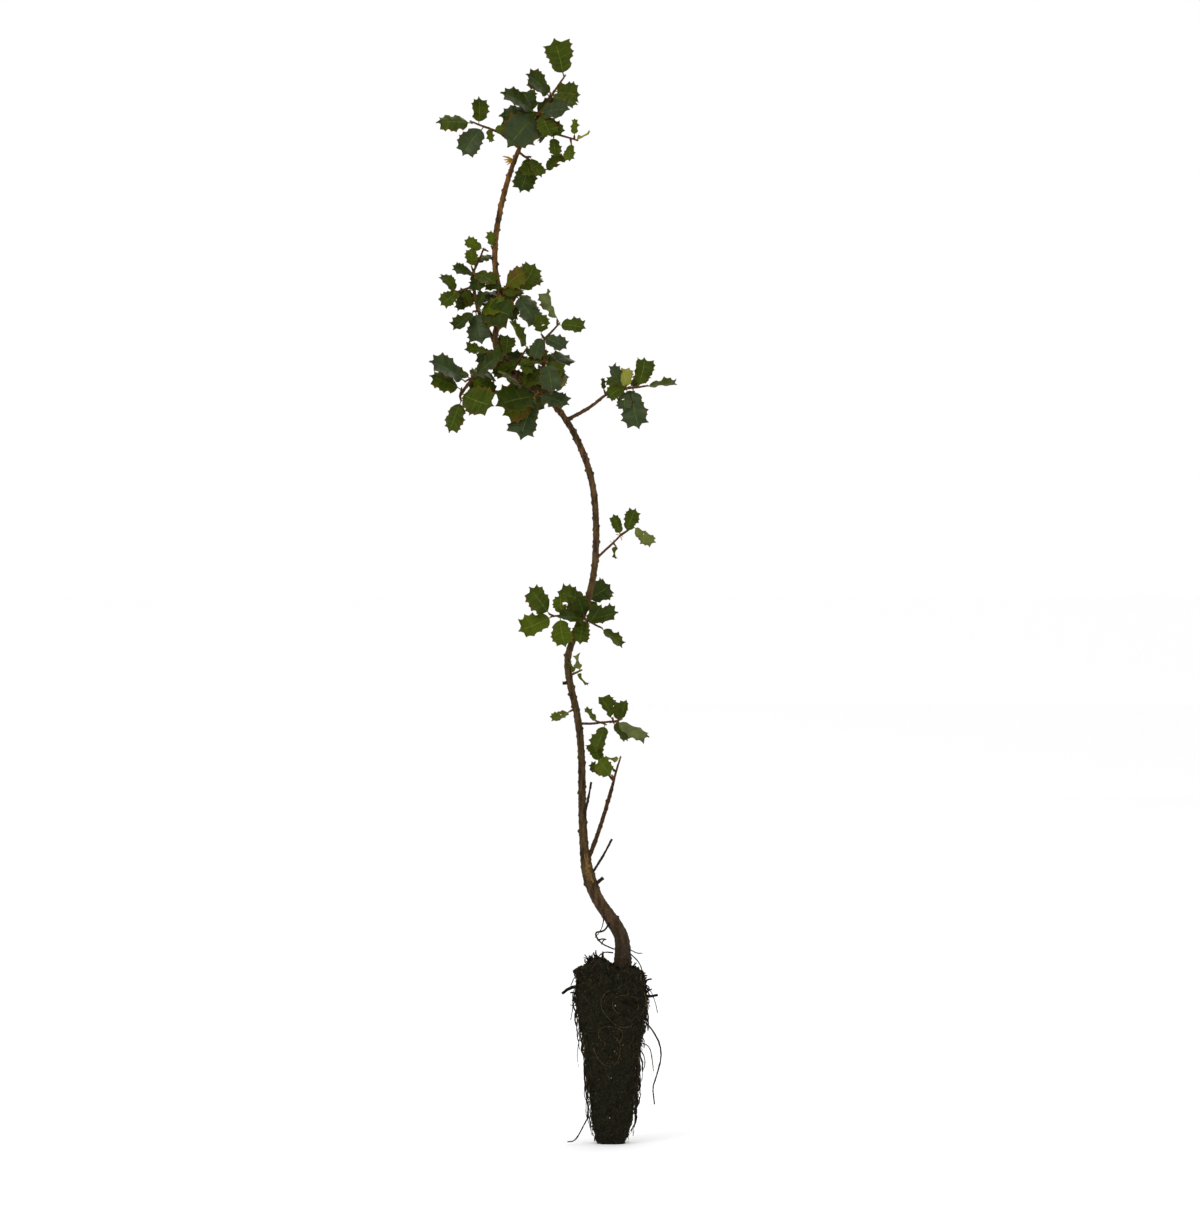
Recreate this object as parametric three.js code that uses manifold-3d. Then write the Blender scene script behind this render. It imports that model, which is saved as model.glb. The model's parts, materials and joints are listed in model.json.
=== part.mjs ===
// A young spiny-leaved evergreen oak, lifted from its tray cell with the root ball whole.
// Millimetres, +Z up. X runs across the plant and Y through it, away from its front.
// The origin is the middle of the ball's flat underside.
//
// Every limb is a walk: from its foot it takes a few courses, each a run at a lean and an away angle.
// Every mass of leaves grows by one seeded rule from a stem that springs from its limb.
import * as THREE from "three";
import { mergeVertices } from "three/addons/utils/BufferGeometryUtils.js";
import Module from "manifold-3d";

const wasm = await Module();
wasm.setup();

// ---------------------------------------------------------------- driving sizes

const CLEAR = 0.3; // air between neighbouring solids

// The trunk's foot is cut flat just under the level of the peat. A course is [run, lean], with the lean
// from the vertical towards +X in degrees. From course to course the trunk also sways through the plant.
const FOOT = [10.5, 0, 157.7];
const TRUNK_COURSES = [
  [33, 2], [14, -20], [46, -36], [54, -8], [96, 0], [60, -14], [22, 4], [62, 23], [66, 3],
  [55, -8], [64, -28], [52, -59], [36, -32], [35, 20], [56, -13], [94, 13], [59, 34],
];
const TRUNK_SWAY = 6; // the largest away angle of a course, in degrees
const TRUNK_SWAY_STEP = 110; // degrees of the sway's own turn from one course to the next
const TRUNK_RADIUS = { tip: 1.8, gain: 1.5, swell: 3.5, swellShare: 0.13, flare: 1.2, flareShare: 0.012 };
const TRUNK_SIDES = 8;
const TRUNK_RINGS = 64;

// A bough springs from its parent at a share of the parent's length. Its courses are [run, lean, away],
// with the away angle towards +Y.
const BOUGHS = {
  right_bough: { parent: "trunk", share: 0.616, radius: 1.5, courses: [[24, 63, -5], [20, 51, -5]] },
  lower_left_bough: {
    parent: "trunk", share: 0.713, radius: 1.5,
    courses: [[18, -120, -12], [18, -132, -5], [18, -145, 4]],
  },
  left_bough: {
    parent: "trunk", share: 0.73, radius: 1.5,
    courses: [[14, -27, 18], [22, -29, 12], [18, -12, 6], [19, -6, 0]],
  },
  upper_right_bough: { parent: "trunk", share: 0.754, radius: 1.4, courses: [[19, 34, -12], [10, 36, 0]] },
  inner_bough: {
    parent: "trunk", share: 0.643, radius: 1.4,
    courses: [[18, -18, -20], [22, -3, -8], [20, 1, 4]],
  },
  basal_shoot: {
    parent: "trunk", share: 0.131, radius: 1.8,
    courses: [[18, 23, -10], [28, 19, -5], [36, 16, 2]],
  },
  top_left_bough: { parent: "trunk", share: 0.944, radius: 1.2, courses: [[23, -52, -8]] },
  dead_twig_low: { parent: "trunk", share: 0.115, radius: 0.8, courses: [[26, 32, -14], [18, 27, -8]] },
  dead_twig_high: { parent: "trunk", share: 0.175, radius: 0.8, courses: [[20, 14, -16], [20, 10, -6]] },
  stub_low: { parent: "trunk", share: 0.105, radius: 1.8, courses: [[14, 50, -20]] },
  stub_middle: { parent: "trunk", share: 0.325, radius: 1.6, courses: [[7, -95, -10]] },
};
const BOUGH_TAPER = 0.4;
const BOUGH_SIDES = 6;
const BOUGH_RING_STEP = 9;

const TWIG_RADIUS = 0.9;
const TWIG_TAPER = 0.3;
const TWIG_SIDES = 3;
const SHORT_TWIG = 12; // a twig shorter than this is straight
const LEADING_SHARE = 0.995; // past this share of a limb, a stem leads on from its end

const LEAF = {
  thickness: 0.55,
  width: 0.74, // of the blade's length, before the spines
  stalk: 0.12, // of the leaf's length
  stalkHalf: 0.5,
  sunk: 0.6, // how deep the stalk's root goes into its twig
  spines: 2, // down each side, besides the one at the tip
  firstSpine: 0.27,
  spineStep: 0.46,
  spineReach: 1.1,
  notchDepth: 0.9,
  roll: 26, // degrees that a leaf may turn about its own length
  lowest: 0.2, // the share of its twig that bears leaves starts here
  follow: 0.35, // how far a leaf follows its twig's away angle
  depth: 12, // degrees that leaves stand by turns to the front and to the back
  stray: 8, // how much that angle varies
  lean: 4, // how much a leaf's lean varies, in degrees
  growth: 0.05, // how much its length varies
};
const BENDS = [0, 0.3, 0.6, 1]; // how far a leaf bends, in turn, to stay clear of its neighbours
const LIGHT = new THREE.Vector3(0, -0.8, 0.6);
const SIMPLIFY = 0.1; // how far the union's needless corners may move

// A mass hangs on a limb, its stem at a share of the limb's length. The first twig is the stem, and each
// later one springs from the stem at `from`. A leaf is [lean, length], from the twig's foot to its tip.
const on = (limb, share, twigs) => ({ limb, share, twigs });
const twig = (from, lean, away, run, leaves) => ({ from, lean, away, run, leaves });
const WANDER = 5; // degrees that a twig's courses stray from its lean and away angle
const SEEDS = 10; // seeds kept for each mass, one for each of its twigs
const MASSES = {
  crest: on("trunk", 1.0, [
    twig(0, 33, -6, 30, [[-15, 36]]),
    twig(0.2, 0, -45, 5, [[-46, 28], [110, 27]]),
    twig(0.3, 20, 50, 8, [[-60, 26], [95, 25]]),
  ]),
  head: on("trunk", 0.985, [
    twig(0, -60, -60, 7, [[-144, 41], [-58, 35]]),
    twig(0.4, 90, -55, 8, [[82, 32], [-88, 37], [159, 25]]),
    twig(0.3, 120, -35, 10, [[143, 23]]),
    twig(0.3, -60, 55, 8, [[-105, 27], [150, 30], [70, 28], [-30, 25]]),
  ]),
  top_right: on("trunk", 0.969, [
    twig(0, 107, -16, 44, [[62, 16]]),
    twig(0.45, 160, -30, 4, [[177, 19]]),
    twig(0.88, 170, -30, 5, [[-174, 17]]),
    twig(0.97, 0, -40, 4, [[0, 15]]),
  ]),
  top_low: on("trunk", 0.94, [
    twig(0, 126, -14, 30, [[-167, 32], [54, 26]]),
    twig(0.25, 90, -60, 8, [[170, 18], [148, 22]]),
  ]),
  top_left: on("top_left_bough", 1.0, [
    twig(0, -68, -6, 29, [[81, 20], [169, 14], [-148, 35], [4, 28], [-88, 34]]),
  ]),
  leader_sprig: on("trunk", 0.829, [
    twig(0, -30, -25, 4, [[-6, 15]]),
  ]),
  left_upper: on("left_bough", 1.0, [
    twig(0, 22, -6, 26, [[-61, 20]]),
    twig(1.0, 120, -30, 4, [[142, 19]]),
    twig(0.1, -18, -40, 5, [[-3, 18]]),
    twig(0.15, 175, -60, 7, [[162, 20], [114, 28], [-77, 20]]),
    twig(0.3, -20, 55, 8, [[-8, 16], [60, 18]]),
  ]),
  left_side: on("left_bough", 0.84, [
    twig(0, -107, -14, 17, [[78, 16], [158, 18], [-123, 24], [-43, 22]]),
  ]),
  left_mid: on("left_bough", 0.5, [
    twig(0, -90, -58, 7, [[22, 20], [168, 32], [-131, 26]]),
    twig(0.5, 80, -62, 7, [[97, 34], [77, 28]]),
  ]),
  left_back: on("left_bough", 0.6, [
    twig(0, 0, 60, 9, [[-60, 24], [60, 26], [-100, 22], [110, 22]]),
  ]),
  leader_side: on("trunk", 0.79, [
    twig(0, 90, -55, 7, [[102, 18], [-79, 18], [51, 24]]),
  ]),
  leader_back: on("trunk", 0.772, [
    twig(0, 0, 58, 9, [[-70, 24], [40, 24], [140, 24]]),
  ]),
  upper_right: on("upper_right_bough", 1.0, [
    twig(0, 26, -30, 6, [[142, 34], [29, 30]]),
    twig(0.4, 20, 55, 8, [[125, 28], [40, 26]]),
  ]),
  centre_upper: on("trunk", 0.694, [
    twig(0, 30, -34, 30, [[82, 26], [-120, 24], [144, 19], [75, 22], [-36, 28]]),
    twig(0.05, -28, -24, 16, [[7, 19]]),
  ]),
  centre_left: on("trunk", 0.719, [
    twig(0, -80, -40, 8, [[-84, 22]]),
  ]),
  centre_back: on("trunk", 0.714, [
    twig(0, 0, 60, 9, [[-100, 24], [15, 20], [110, 26], [170, 24]]),
  ]),
  centre_low: on("trunk", 0.675, [
    twig(0, -115, -45, 10, [[21, 20], [48, 26], [-30, 30]]),
  ]),
  lower_left_inner: on("lower_left_bough", 0.5, [
    twig(0, -122, -30, 14, [[51, 38], [115, 28], [-61, 38]]),
  ]),
  lower_left_back: on("lower_left_bough", 0.65, [
    twig(0, 0, 60, 9, [[-70, 28], [75, 28], [165, 26]]),
  ]),
  lower_left_tip: on("lower_left_bough", 1.0, [
    twig(0, 170, -30, 5, [[98, 13], [-160, 31]]),
    twig(0.1, 14, -45, 11, [[112, 38], [-67, 34]]),
  ]),
  lower_mid: on("trunk", 0.655, [
    twig(0, -108, -58, 8, [[103, 29], [-122, 37]]),
    twig(0.4, -130, -50, 7, [[-100, 38], [-160, 42]]),
  ]),
  lower_back: on("trunk", 0.668, [
    twig(0, 0, 60, 9, [[-65, 28], [-130, 28], [125, 28], [172, 32]]),
  ]),
  inner_tip: on("inner_bough", 1.0, [
    twig(0, 44, -8, 20, [[100, 25]]),
    twig(0.95, -10, -20, 4, [[-19, 32]]),
    twig(0.05, -40, -50, 7, [[118, 24], [-165, 26], [-3, 20]]),
  ]),
  inner_low: on("inner_bough", 0.58, [
    twig(0, 40, -60, 7, [[-29, 22], [107, 21], [172, 30]]),
  ]),
  inner_foot: on("inner_bough", 0.09, [
    twig(0, 68, -20, 6, [[32, 21]]),
  ]),
  inner_back: on("inner_bough", 0.52, [
    twig(0, 0, 60, 9, [[-20, 26], [60, 28], [125, 28], [-150, 24]]),
  ]),
  right_bough: on("right_bough", 1.0, [
    twig(0, 76, -8, 21, []),
    twig(0.05, -18, -20, 5, [[-5, 12]]),
    twig(0.9, 40, -50, 6, [[-33, 25], [-125, 22]]),
    twig(1.0, 82, -12, 20, [[170, 39], [12, 30], [86, 29]]),
    twig(0.8, 76, -40, 6, [[175, 20], [-13, 20]]),
    twig(0.95, 60, 55, 8, [[150, 24], [-60, 22], [50, 24]]),
  ]),
  small_right: on("trunk", 0.461, [
    twig(0, 48, -10, 31, [[-24, 21]]),
    twig(0.66, 140, -20, 3, [[176, 13]]),
    twig(1.0, 58, -10, 14, [[20, 23], [128, 27]]),
  ]),
  mid_left: on("trunk", 0.404, [
    twig(0, -101, -14, 28, [[-114, 34]]),
    twig(0.97, -60, -30, 4, [[-33, 33]]),
    twig(0.66, -120, -50, 5, [[-2, 20], [170, 28]]),
  ]),
  mid_right: on("trunk", 0.4, [
    twig(0, 140, -60, 8, [[-20, 21], [-168, 24], [-83, 27]]),
    twig(0.4, 150, -50, 12, [[76, 29], [32, 22]]),
    twig(1.0, 118, -16, 17, [[135, 28]]),
  ]),
  mid_back: on("trunk", 0.413, [
    twig(0, 0, 60, 9, [[-70, 28], [60, 28], [150, 26], [-140, 26]]),
  ]),
  stem_sprig: on("trunk", 0.332, [
    twig(0, 63, -28, 10, [[-29, 12], [132, 16], [-11, 17]]),
  ]),
  left_sprig: on("trunk", 0.297, [
    twig(0, -120, -30, 4, [[-112, 19]]),
  ]),
  right_low: on("trunk", 0.28, [
    twig(0, 86, -10, 32, [[114, 37]]),
    twig(0.6, 120, -30, 4, [[-163, 26]]),
    twig(0.55, -60, -40, 4, [[-38, 16]]),
    twig(0.95, 0, -40, 4, [[-25, 22]]),
    twig(1.0, 70, -30, 6, [[16, 20]]),
    twig(0.85, 90, 40, 9, [[140, 24], [10, 20]]),
  ]),
  basal_shoot: on("basal_shoot", 1.0, [
    twig(0, 17, -6, 23, [[-34, 9], [-85, 14]]),
    twig(0.04, -36, 12, 22, [[-60, 20], [-22, 23]]),
    twig(0.1, -20, -40, 5, [[-39, 20]]),
  ]),
};

const BALL = {
  rim: 140, // height of the widest ring
  footHalf: 17,
  widening: 16,
  widenPower: 1.25,
  rings: 9,
  sides: 28,
  top: [[0.98, 12], [0.86, 22], [0.6, 26], [0.3, 25]], // share of the rim's half width, rise over the rim
  crown: 24,
  squareness: 3,
  ribs: 8,
  ribDepth: 0.07,
  rough: 0.05,
  clods: 1.6,
  mound: 9,
  moundX: 12,
  moundSpan: 12,
  lean: 1.5,
  fan: [4, 3, 0], // where the facets of the flat underside meet
  seed: 5,
};

// Roots that stand out of the ball or hang down beside it. A start is inside the ball.
const ROOTS = {
  stub_root_left: { start: [-28, -6, 150], radius: 1.9, courses: [[12, -100, -10], [9, -128, -20]] },
  stub_root_right: { start: [26, -8, 142], radius: 1.7, courses: [[10, 104, -8], [9, 78, -10]] },
  hanging_root_right: {
    start: [26, -12, 119], radius: 0.9,
    courses: [[14, 120, -20], [26, 152, -6], [30, 195, 4], [6, 205, 0], [17, 174, 0]],
  },
  hanging_root_left: {
    start: [-19, -14, 84], radius: 0.9,
    courses: [
      [9, -128, -25], [14, 180, 0], [17, 174, 4], [21, 172, 0], [9, 211, 0], [18, 207, 0], [8, 264, 0],
    ],
  },
};
const ROOT_TAPER = 0.5;
const ROOT_SIDES = 5;
const ROOT_RING_STEP = 7;

// ---------------------------------------------------------------- chance

// A seeded generator, so that every run grows the same plant.
function chance(seed) {
  let state = seed * 7919 + 17;
  const next = () => {
    state = (state * 48271) % 2147483647;
    return state / 2147483647;
  };
  next();
  next();
  return next;
}

const spread = (next, amount) => (2 * next() - 1) * amount;

// ---------------------------------------------------------------- courses and paths

function heading(lean, away) {
  const [leaning, going] = [THREE.MathUtils.degToRad(lean), THREE.MathUtils.degToRad(away)];
  return new THREE.Vector3(
    Math.sin(leaning) * Math.cos(going),
    Math.sin(going),
    Math.cos(leaning) * Math.cos(going),
  );
}

function walk(start, courses) {
  const points = [start.clone()];
  for (const [run, lean, away] of courses) {
    points.push(points.at(-1).clone().addScaledVector(heading(lean, away), run));
  }
  return points;
}

// Cuts each corner of the walk at a quarter and three quarters, and keeps its two ends.
function rounded(points) {
  const cut = [points[0]];
  for (let i = 1; i < points.length; i++) {
    cut.push(points[i - 1].clone().lerp(points[i], 0.25), points[i - 1].clone().lerp(points[i], 0.75));
  }
  cut.push(points.at(-1));
  return cut;
}

class Path {
  constructor(points) {
    this.points = points;
    this.reach = [0];
    for (let i = 1; i < points.length; i++) {
      this.reach.push(this.reach[i - 1] + points[i].distanceTo(points[i - 1]));
    }
  }

  get length() {
    return this.reach.at(-1);
  }

  // The point at a share of the length, and the way the path runs there.
  at(share) {
    const wanted = share * this.length;
    let i = 1;
    while (i < this.points.length - 1 && this.reach[i] < wanted) i++;
    const [from, to] = [this.points[i - 1], this.points[i]];
    const along = (wanted - this.reach[i - 1]) / (this.reach[i] - this.reach[i - 1]);
    return { point: from.clone().lerp(to, along), way: to.clone().sub(from).normalize() };
  }
}

// ---------------------------------------------------------------- solids

function solidOf(geometry) {
  const bare = geometry.clone();
  bare.deleteAttribute("normal");
  bare.deleteAttribute("uv");
  const merged = mergeVertices(bare, 1e-4);
  const vertProperties = new Float32Array(merged.attributes.position.array);
  return new wasm.Manifold(
    new wasm.Mesh({ numProp: 3, vertProperties, triVerts: new Uint32Array(merged.index.array) }),
  );
}

function geometryOf(solid) {
  const { vertProperties, triVerts } = solid.getMesh();
  const shared = new THREE.BufferGeometry();
  shared.setAttribute("position", new THREE.BufferAttribute(new Float32Array(vertProperties), 3));
  shared.setIndex(new THREE.BufferAttribute(new Uint32Array(triVerts), 1));
  const faceted = shared.toNonIndexed();
  faceted.computeVertexNormals();
  return faceted;
}

// The largest body of a solid, without the scraps that a cut leaves.
function wholeOf(solid) {
  return solid.decompose().sort((a, b) => b.volume() - a.volume())[0];
}

// A limb: a drum of `sides` bent along the path, its rings square to the path and never twisted.
// `swell` makes it fatter and longer all over, to cut its neighbours clear of it.
function limbSolid(path, radiusAt, sides, rings, swell = 0) {
  const drum = new THREE.CylinderGeometry(1, 1, 1, sides, rings);
  const frames = [];
  let side = new THREE.Vector3(1, 0, 0);
  for (let ring = 0; ring <= rings; ring++) {
    const { point, way } = path.at(ring / rings);
    side = side.clone().addScaledVector(way, -side.dot(way)).normalize();
    const end = ring === 0 ? -swell : ring === rings ? swell : 0;
    frames.push({ centre: point.addScaledVector(way, end), side, up: side.clone().cross(way) });
  }
  const place = drum.attributes.position;
  const corner = new THREE.Vector3();
  for (let i = 0; i < place.count; i++) {
    corner.fromBufferAttribute(place, i);
    const ring = Math.round((corner.y + 0.5) * rings);
    const radius = radiusAt(ring / rings) + swell;
    const { centre, side: across, up } = frames[ring];
    const bent = centre.clone();
    bent.addScaledVector(across, corner.x * radius).addScaledVector(up, corner.z * radius);
    place.setXYZ(i, bent.x, bent.y, bent.z);
  }
  return solidOf(drum);
}

// ---------------------------------------------------------------- trunk and boughs

function trunkRadius(share) {
  const { tip, gain, swell, swellShare, flare, flareShare } = TRUNK_RADIUS;
  return (
    tip +
    gain * Math.pow(Math.max(1 - share, 0), 0.45) +
    swell * Math.exp(-Math.pow(share / swellShare, 2)) +
    flare * Math.exp(-share / flareShare)
  );
}

const limbs = {};

function addLimb(name, path, radiusAt, sides, rings) {
  limbs[name] = {
    path,
    radiusAt,
    solid: limbSolid(path, radiusAt, sides, rings),
    clearance: limbSolid(path, radiusAt, sides, rings, CLEAR),
  };
}

// Where something springs from a limb: on its bark for a side shoot, at its end for a leading one.
function springFrom({ path, radiusAt }, share, lean, away) {
  const { point } = path.at(share);
  if (share < LEADING_SHARE) point.addScaledVector(heading(lean, away), radiusAt(share));
  return point;
}

const trunkCourses = TRUNK_COURSES.map(([run, lean], i) => {
  return [run, lean, TRUNK_SWAY * Math.sin(THREE.MathUtils.degToRad(TRUNK_SWAY_STEP * i))];
});
const trunkPath = new Path(rounded(rounded(walk(new THREE.Vector3(...FOOT), trunkCourses))));
addLimb("trunk", trunkPath, trunkRadius, TRUNK_SIDES, TRUNK_RINGS);

for (const [name, { parent, share, radius, courses }] of Object.entries(BOUGHS)) {
  const path = new Path(rounded(rounded(walk(limbs[parent].path.at(share).point, courses))));
  const rings = Math.max(3, Math.round(path.length / BOUGH_RING_STEP));
  addLimb(name, path, (at) => radius * (1 - BOUGH_TAPER * at), BOUGH_SIDES, rings);
  limbs[name].solid = wholeOf(limbs[name].solid.subtract(limbs[parent].clearance));
}

// ---------------------------------------------------------------- leaves

// The half width of a blade at a share of its length, before its spines: 1 in the middle.
const fullness = (share) => Math.pow(4 * share * (1 - share), 0.45);

// One leaf flat on the XY plane, its stalk from the origin along +Y: a thin plate in a spiny outline.
function leafGeometry(length, thickness) {
  const stalk = LEAF.stalk * length;
  const blade = length - stalk;
  const half = (blade * LEAF.width) / 2;
  const edge = [[LEAF.stalkHalf, stalk]];
  for (let spine = 0; spine < LEAF.spines; spine++) {
    const share = LEAF.firstSpine + spine * LEAF.spineStep;
    edge.push([half * fullness(share) * LEAF.spineReach, stalk + blade * share]);
    if (spine < LEAF.spines - 1) {
      const notch = share + LEAF.spineStep / 2;
      edge.push([half * fullness(notch) * LEAF.notchDepth, stalk + blade * notch]);
    }
  }
  const mirrored = edge.map(([x, y]) => [-x, y]).reverse();
  const outline = [[0, -LEAF.sunk], ...edge, [0, length], ...mirrored];
  const shape = new THREE.Shape(outline.map(([x, y]) => new THREE.Vector2(x, y)));
  const plate = new THREE.ExtrudeGeometry(shape, { depth: thickness, bevelEnabled: false });
  return plate.translate(0, 0, -thickness / 2);
}

// A leaf turns its face to the light: its normal is the light's direction squared to the leaf, then rolled.
function leafPlace({ base, way, roll }) {
  const normal = LIGHT.clone().addScaledVector(way, -LIGHT.dot(way)).normalize();
  const across = way.clone().cross(normal);
  const turn = roll * THREE.MathUtils.degToRad(LEAF.roll);
  const face = normal.multiplyScalar(Math.cos(turn)).addScaledVector(across, Math.sin(turn));
  return new THREE.Matrix4().makeBasis(way.clone().cross(face), way, face).setPosition(base);
}

function leafSolid(leaf, thickness) {
  return solidOf(leafGeometry(leaf.length, thickness).applyMatrix4(leafPlace(leaf)));
}

// The leaves of one twig. Each leans its own way across the plant, and by turns a little towards the
// plant's front and a little towards its back. Its length is the length that shows from the front.
function leavesOn(path, { away, leaves }, next) {
  const span = 1 - LEAF.lowest;
  return leaves.map(([lean, length], i) => {
    const share = i === leaves.length - 1 ? 1 : LEAF.lowest + (span * (i + 0.5)) / leaves.length;
    const depth = away * LEAF.follow + (i % 2 ? 1 : -1) * (LEAF.depth + spread(next, LEAF.stray));
    return {
      base: path.at(share).point,
      way: heading(lean + spread(next, LEAF.lean), depth),
      length: (length / Math.cos(THREE.MathUtils.degToRad(depth))) * (1 + spread(next, LEAF.growth)),
      roll: spread(next, 1),
    };
  });
}

const twigRadius = (share) => TWIG_RADIUS * (1 - TWIG_TAPER * share);
const twigCourses = (run) => (run < SHORT_TWIG ? 1 : 3);

// A twig wanders a little from its lean and away angle at each of its courses.
function twigPath(start, { lean, away, run }, next) {
  const count = twigCourses(run);
  const courses = Array.from({ length: count }, () => {
    return [run / count, lean + spread(next, WANDER), away + spread(next, WANDER)];
  });
  return new Path(walk(start, courses));
}

// ---------------------------------------------------------------- masses of leaves

const masses = {};

// True where a solid runs into a limb or into another mass, so that it has to be left off.
function meets(solid, own) {
  const others = [...Object.values(limbs), ...Object.values(masses)];
  return others.some((other) => other !== own && !other.solid.intersect(solid).isEmpty());
}

// The twigs of a mass, joined, with the leaves that each of them will bear.
function growTwigs({ limb: carrier, share, twigs }, seed) {
  const limb = limbs[carrier];
  const mass = { solid: null, buds: [] };
  let stem = null;
  for (const [number, twig] of twigs.entries()) {
    const next = chance(seed + number);
    const start = stem ? stem.at(twig.from).point : springFrom(limb, share, twig.lean, twig.away);
    const path = twigPath(start, twig, next);
    const bark = limbSolid(path, twigRadius, TWIG_SIDES, twigCourses(twig.run));
    if (stem && meets(bark, limb)) continue;
    mass.solid = stem ? mass.solid.add(bark) : bark;
    mass.buds.push(...leavesOn(path, twig, next));
    stem ??= path;
  }
  mass.solid = mass.solid.subtract(limb.clearance);
  return mass;
}

// The places a leaf tries in turn: its own, then each one bent further out of the plane across the plant.
function placesOf(leaf) {
  const out = new THREE.Vector3(0, leaf.way.y > 0 ? 1 : -1, 0);
  return BENDS.map((bend) => ({ ...leaf, way: leaf.way.clone().addScaledVector(out, bend).normalize() }));
}

// A leaf grows in the first of its places where it stays clear of everything else, or not at all.
function addLeaves(mass) {
  for (const leaf of mass.buds) {
    const free = placesOf(leaf).find((place) => !meets(leafSolid(place, LEAF.thickness + 2 * CLEAR), mass));
    if (free) mass.solid = mass.solid.add(leafSolid(free, LEAF.thickness));
  }
  mass.solid = wholeOf(mass.solid.simplify(SIMPLIFY));
}

for (const [number, [name, mass]] of Object.entries(MASSES).entries()) {
  masses[name] = growTwigs(mass, SEEDS * number);
}
Object.values(masses).forEach(addLeaves);

// ---------------------------------------------------------------- root ball

// The half width of the ball at a height: it widens from its foot to its rim.
const ballHalf = (height) => BALL.footHalf + BALL.widening * Math.pow(height / BALL.rim, BALL.widenPower);

// The plan is a rounded square: how much further out the corners stand than the middle of the sides.
function planReach(angle) {
  const [c, s] = [Math.abs(Math.cos(angle)), Math.abs(Math.sin(angle))];
  return Math.pow(Math.pow(c, BALL.squareness) + Math.pow(s, BALL.squareness), -1 / BALL.squareness);
}

// The ball is turned as a lathe body, then squared, ribbed and roughened. `swell` makes it fatter all over.
function ballSolid(swell = 0) {
  const wall = Array.from({ length: BALL.rings }, (_, ring) => {
    const height = (BALL.rim * ring) / (BALL.rings - 1);
    return new THREE.Vector2(ballHalf(height) + swell, height);
  });
  const top = BALL.top.map(([share, rise]) => {
    return new THREE.Vector2(share * ballHalf(BALL.rim), BALL.rim + rise + swell);
  });
  const crown = new THREE.Vector2(0, BALL.rim + BALL.crown + swell);
  const profile = [new THREE.Vector2(0, 0), ...wall, ...top, crown];
  const turned = new THREE.LatheGeometry(profile, BALL.sides).rotateX(Math.PI / 2);
  turned.deleteAttribute("normal");
  turned.deleteAttribute("uv");
  const ball = mergeVertices(turned, 1e-4);
  const place = ball.attributes.position;
  const next = chance(BALL.seed);
  const corner = new THREE.Vector3();
  for (let i = 0; i < place.count; i++) {
    corner.fromBufferAttribute(place, i);
    if (corner.length() < 0.001) {
      place.setXYZ(i, ...BALL.fan);
      continue;
    }
    const angle = Math.atan2(corner.y, corner.x);
    const rough = 1 + spread(next, BALL.rough);
    const rib = 1 - BALL.ribDepth * Math.pow(Math.cos(BALL.ribs * 0.5 * angle), 8);
    const reach = planReach(angle) * rough * rib;
    const lift = corner.z > BALL.rim ? spread(next, BALL.clods) + BALL.mound * moundAt(corner) : 0;
    place.setXYZ(i, corner.x * reach + leanOf(corner.z), corner.y * reach, corner.z + lift);
  }
  return solidOf(ball);
}

// The peat is heaped on the left of the trunk, and the ball leans a little as it goes down.
const moundAt = (corner) => Math.exp(-Math.pow((corner.x + BALL.moundX) / BALL.moundSpan, 2));
const leanOf = (height) => BALL.lean * Math.sin((Math.PI * height) / BALL.rim);

const rootBall = wholeOf(ballSolid().subtract(limbs.trunk.clearance));
const ballClearance = ballSolid(CLEAR);

// ---------------------------------------------------------------- roots outside the ball

const roots = {};
for (const [name, { start, radius, courses }] of Object.entries(ROOTS)) {
  const path = new Path(rounded(walk(new THREE.Vector3(...start), courses)));
  const rings = Math.max(3, Math.round(path.length / ROOT_RING_STEP));
  const root = limbSolid(path, (at) => radius * (1 - ROOT_TAPER * at), ROOT_SIDES, rings);
  roots[name] = wholeOf(root.subtract(ballClearance));
}

// ---------------------------------------------------------------- finishes and the assembly

const finish = (color, roughness) => new THREE.MeshStandardMaterial({ color, roughness, metalness: 0 });
const bark = finish(0x5c4a2f, 0.85);
const shootBark = finish(0x6a4e27, 0.7);
const foliage = finish(0x3f461a, 0.5);
const peat = finish(0x1c1b12, 1);
const rootBark = finish(0x2b2013, 0.9);

const sapling = new THREE.Group();

function place(name, solid, material) {
  const mesh = new THREE.Mesh(geometryOf(solid), material);
  mesh.name = name;
  sapling.add(mesh);
}

place("root_ball", rootBall, peat);
for (const [name, { solid }] of Object.entries(limbs)) {
  place(name, solid, name === "trunk" ? bark : shootBark);
}
for (const [name, solid] of Object.entries(roots)) place(name, solid, rootBark);
for (const [name, { solid }] of Object.entries(masses)) place(`${name}_leaves`, solid, foliage);

export default sapling;
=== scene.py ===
"""A young spiny-leaved evergreen oak, lifted from its tray cell with the root ball whole.

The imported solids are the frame. This file dresses them: bark with its relief, leaves grown by the
solids' own rule, and a ball of peat bound by fine roots. Growing is done in millimetres, and a mesh
gets its metres when it is made.
"""

import json
import logging
import math
from collections.abc import Callable, Iterator
from dataclasses import dataclass, field, replace
from enum import Enum

import bmesh
import bpy
from mathutils import Matrix, Quaternion, Vector, noise
from mathutils.bvhtree import BVHTree

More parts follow.
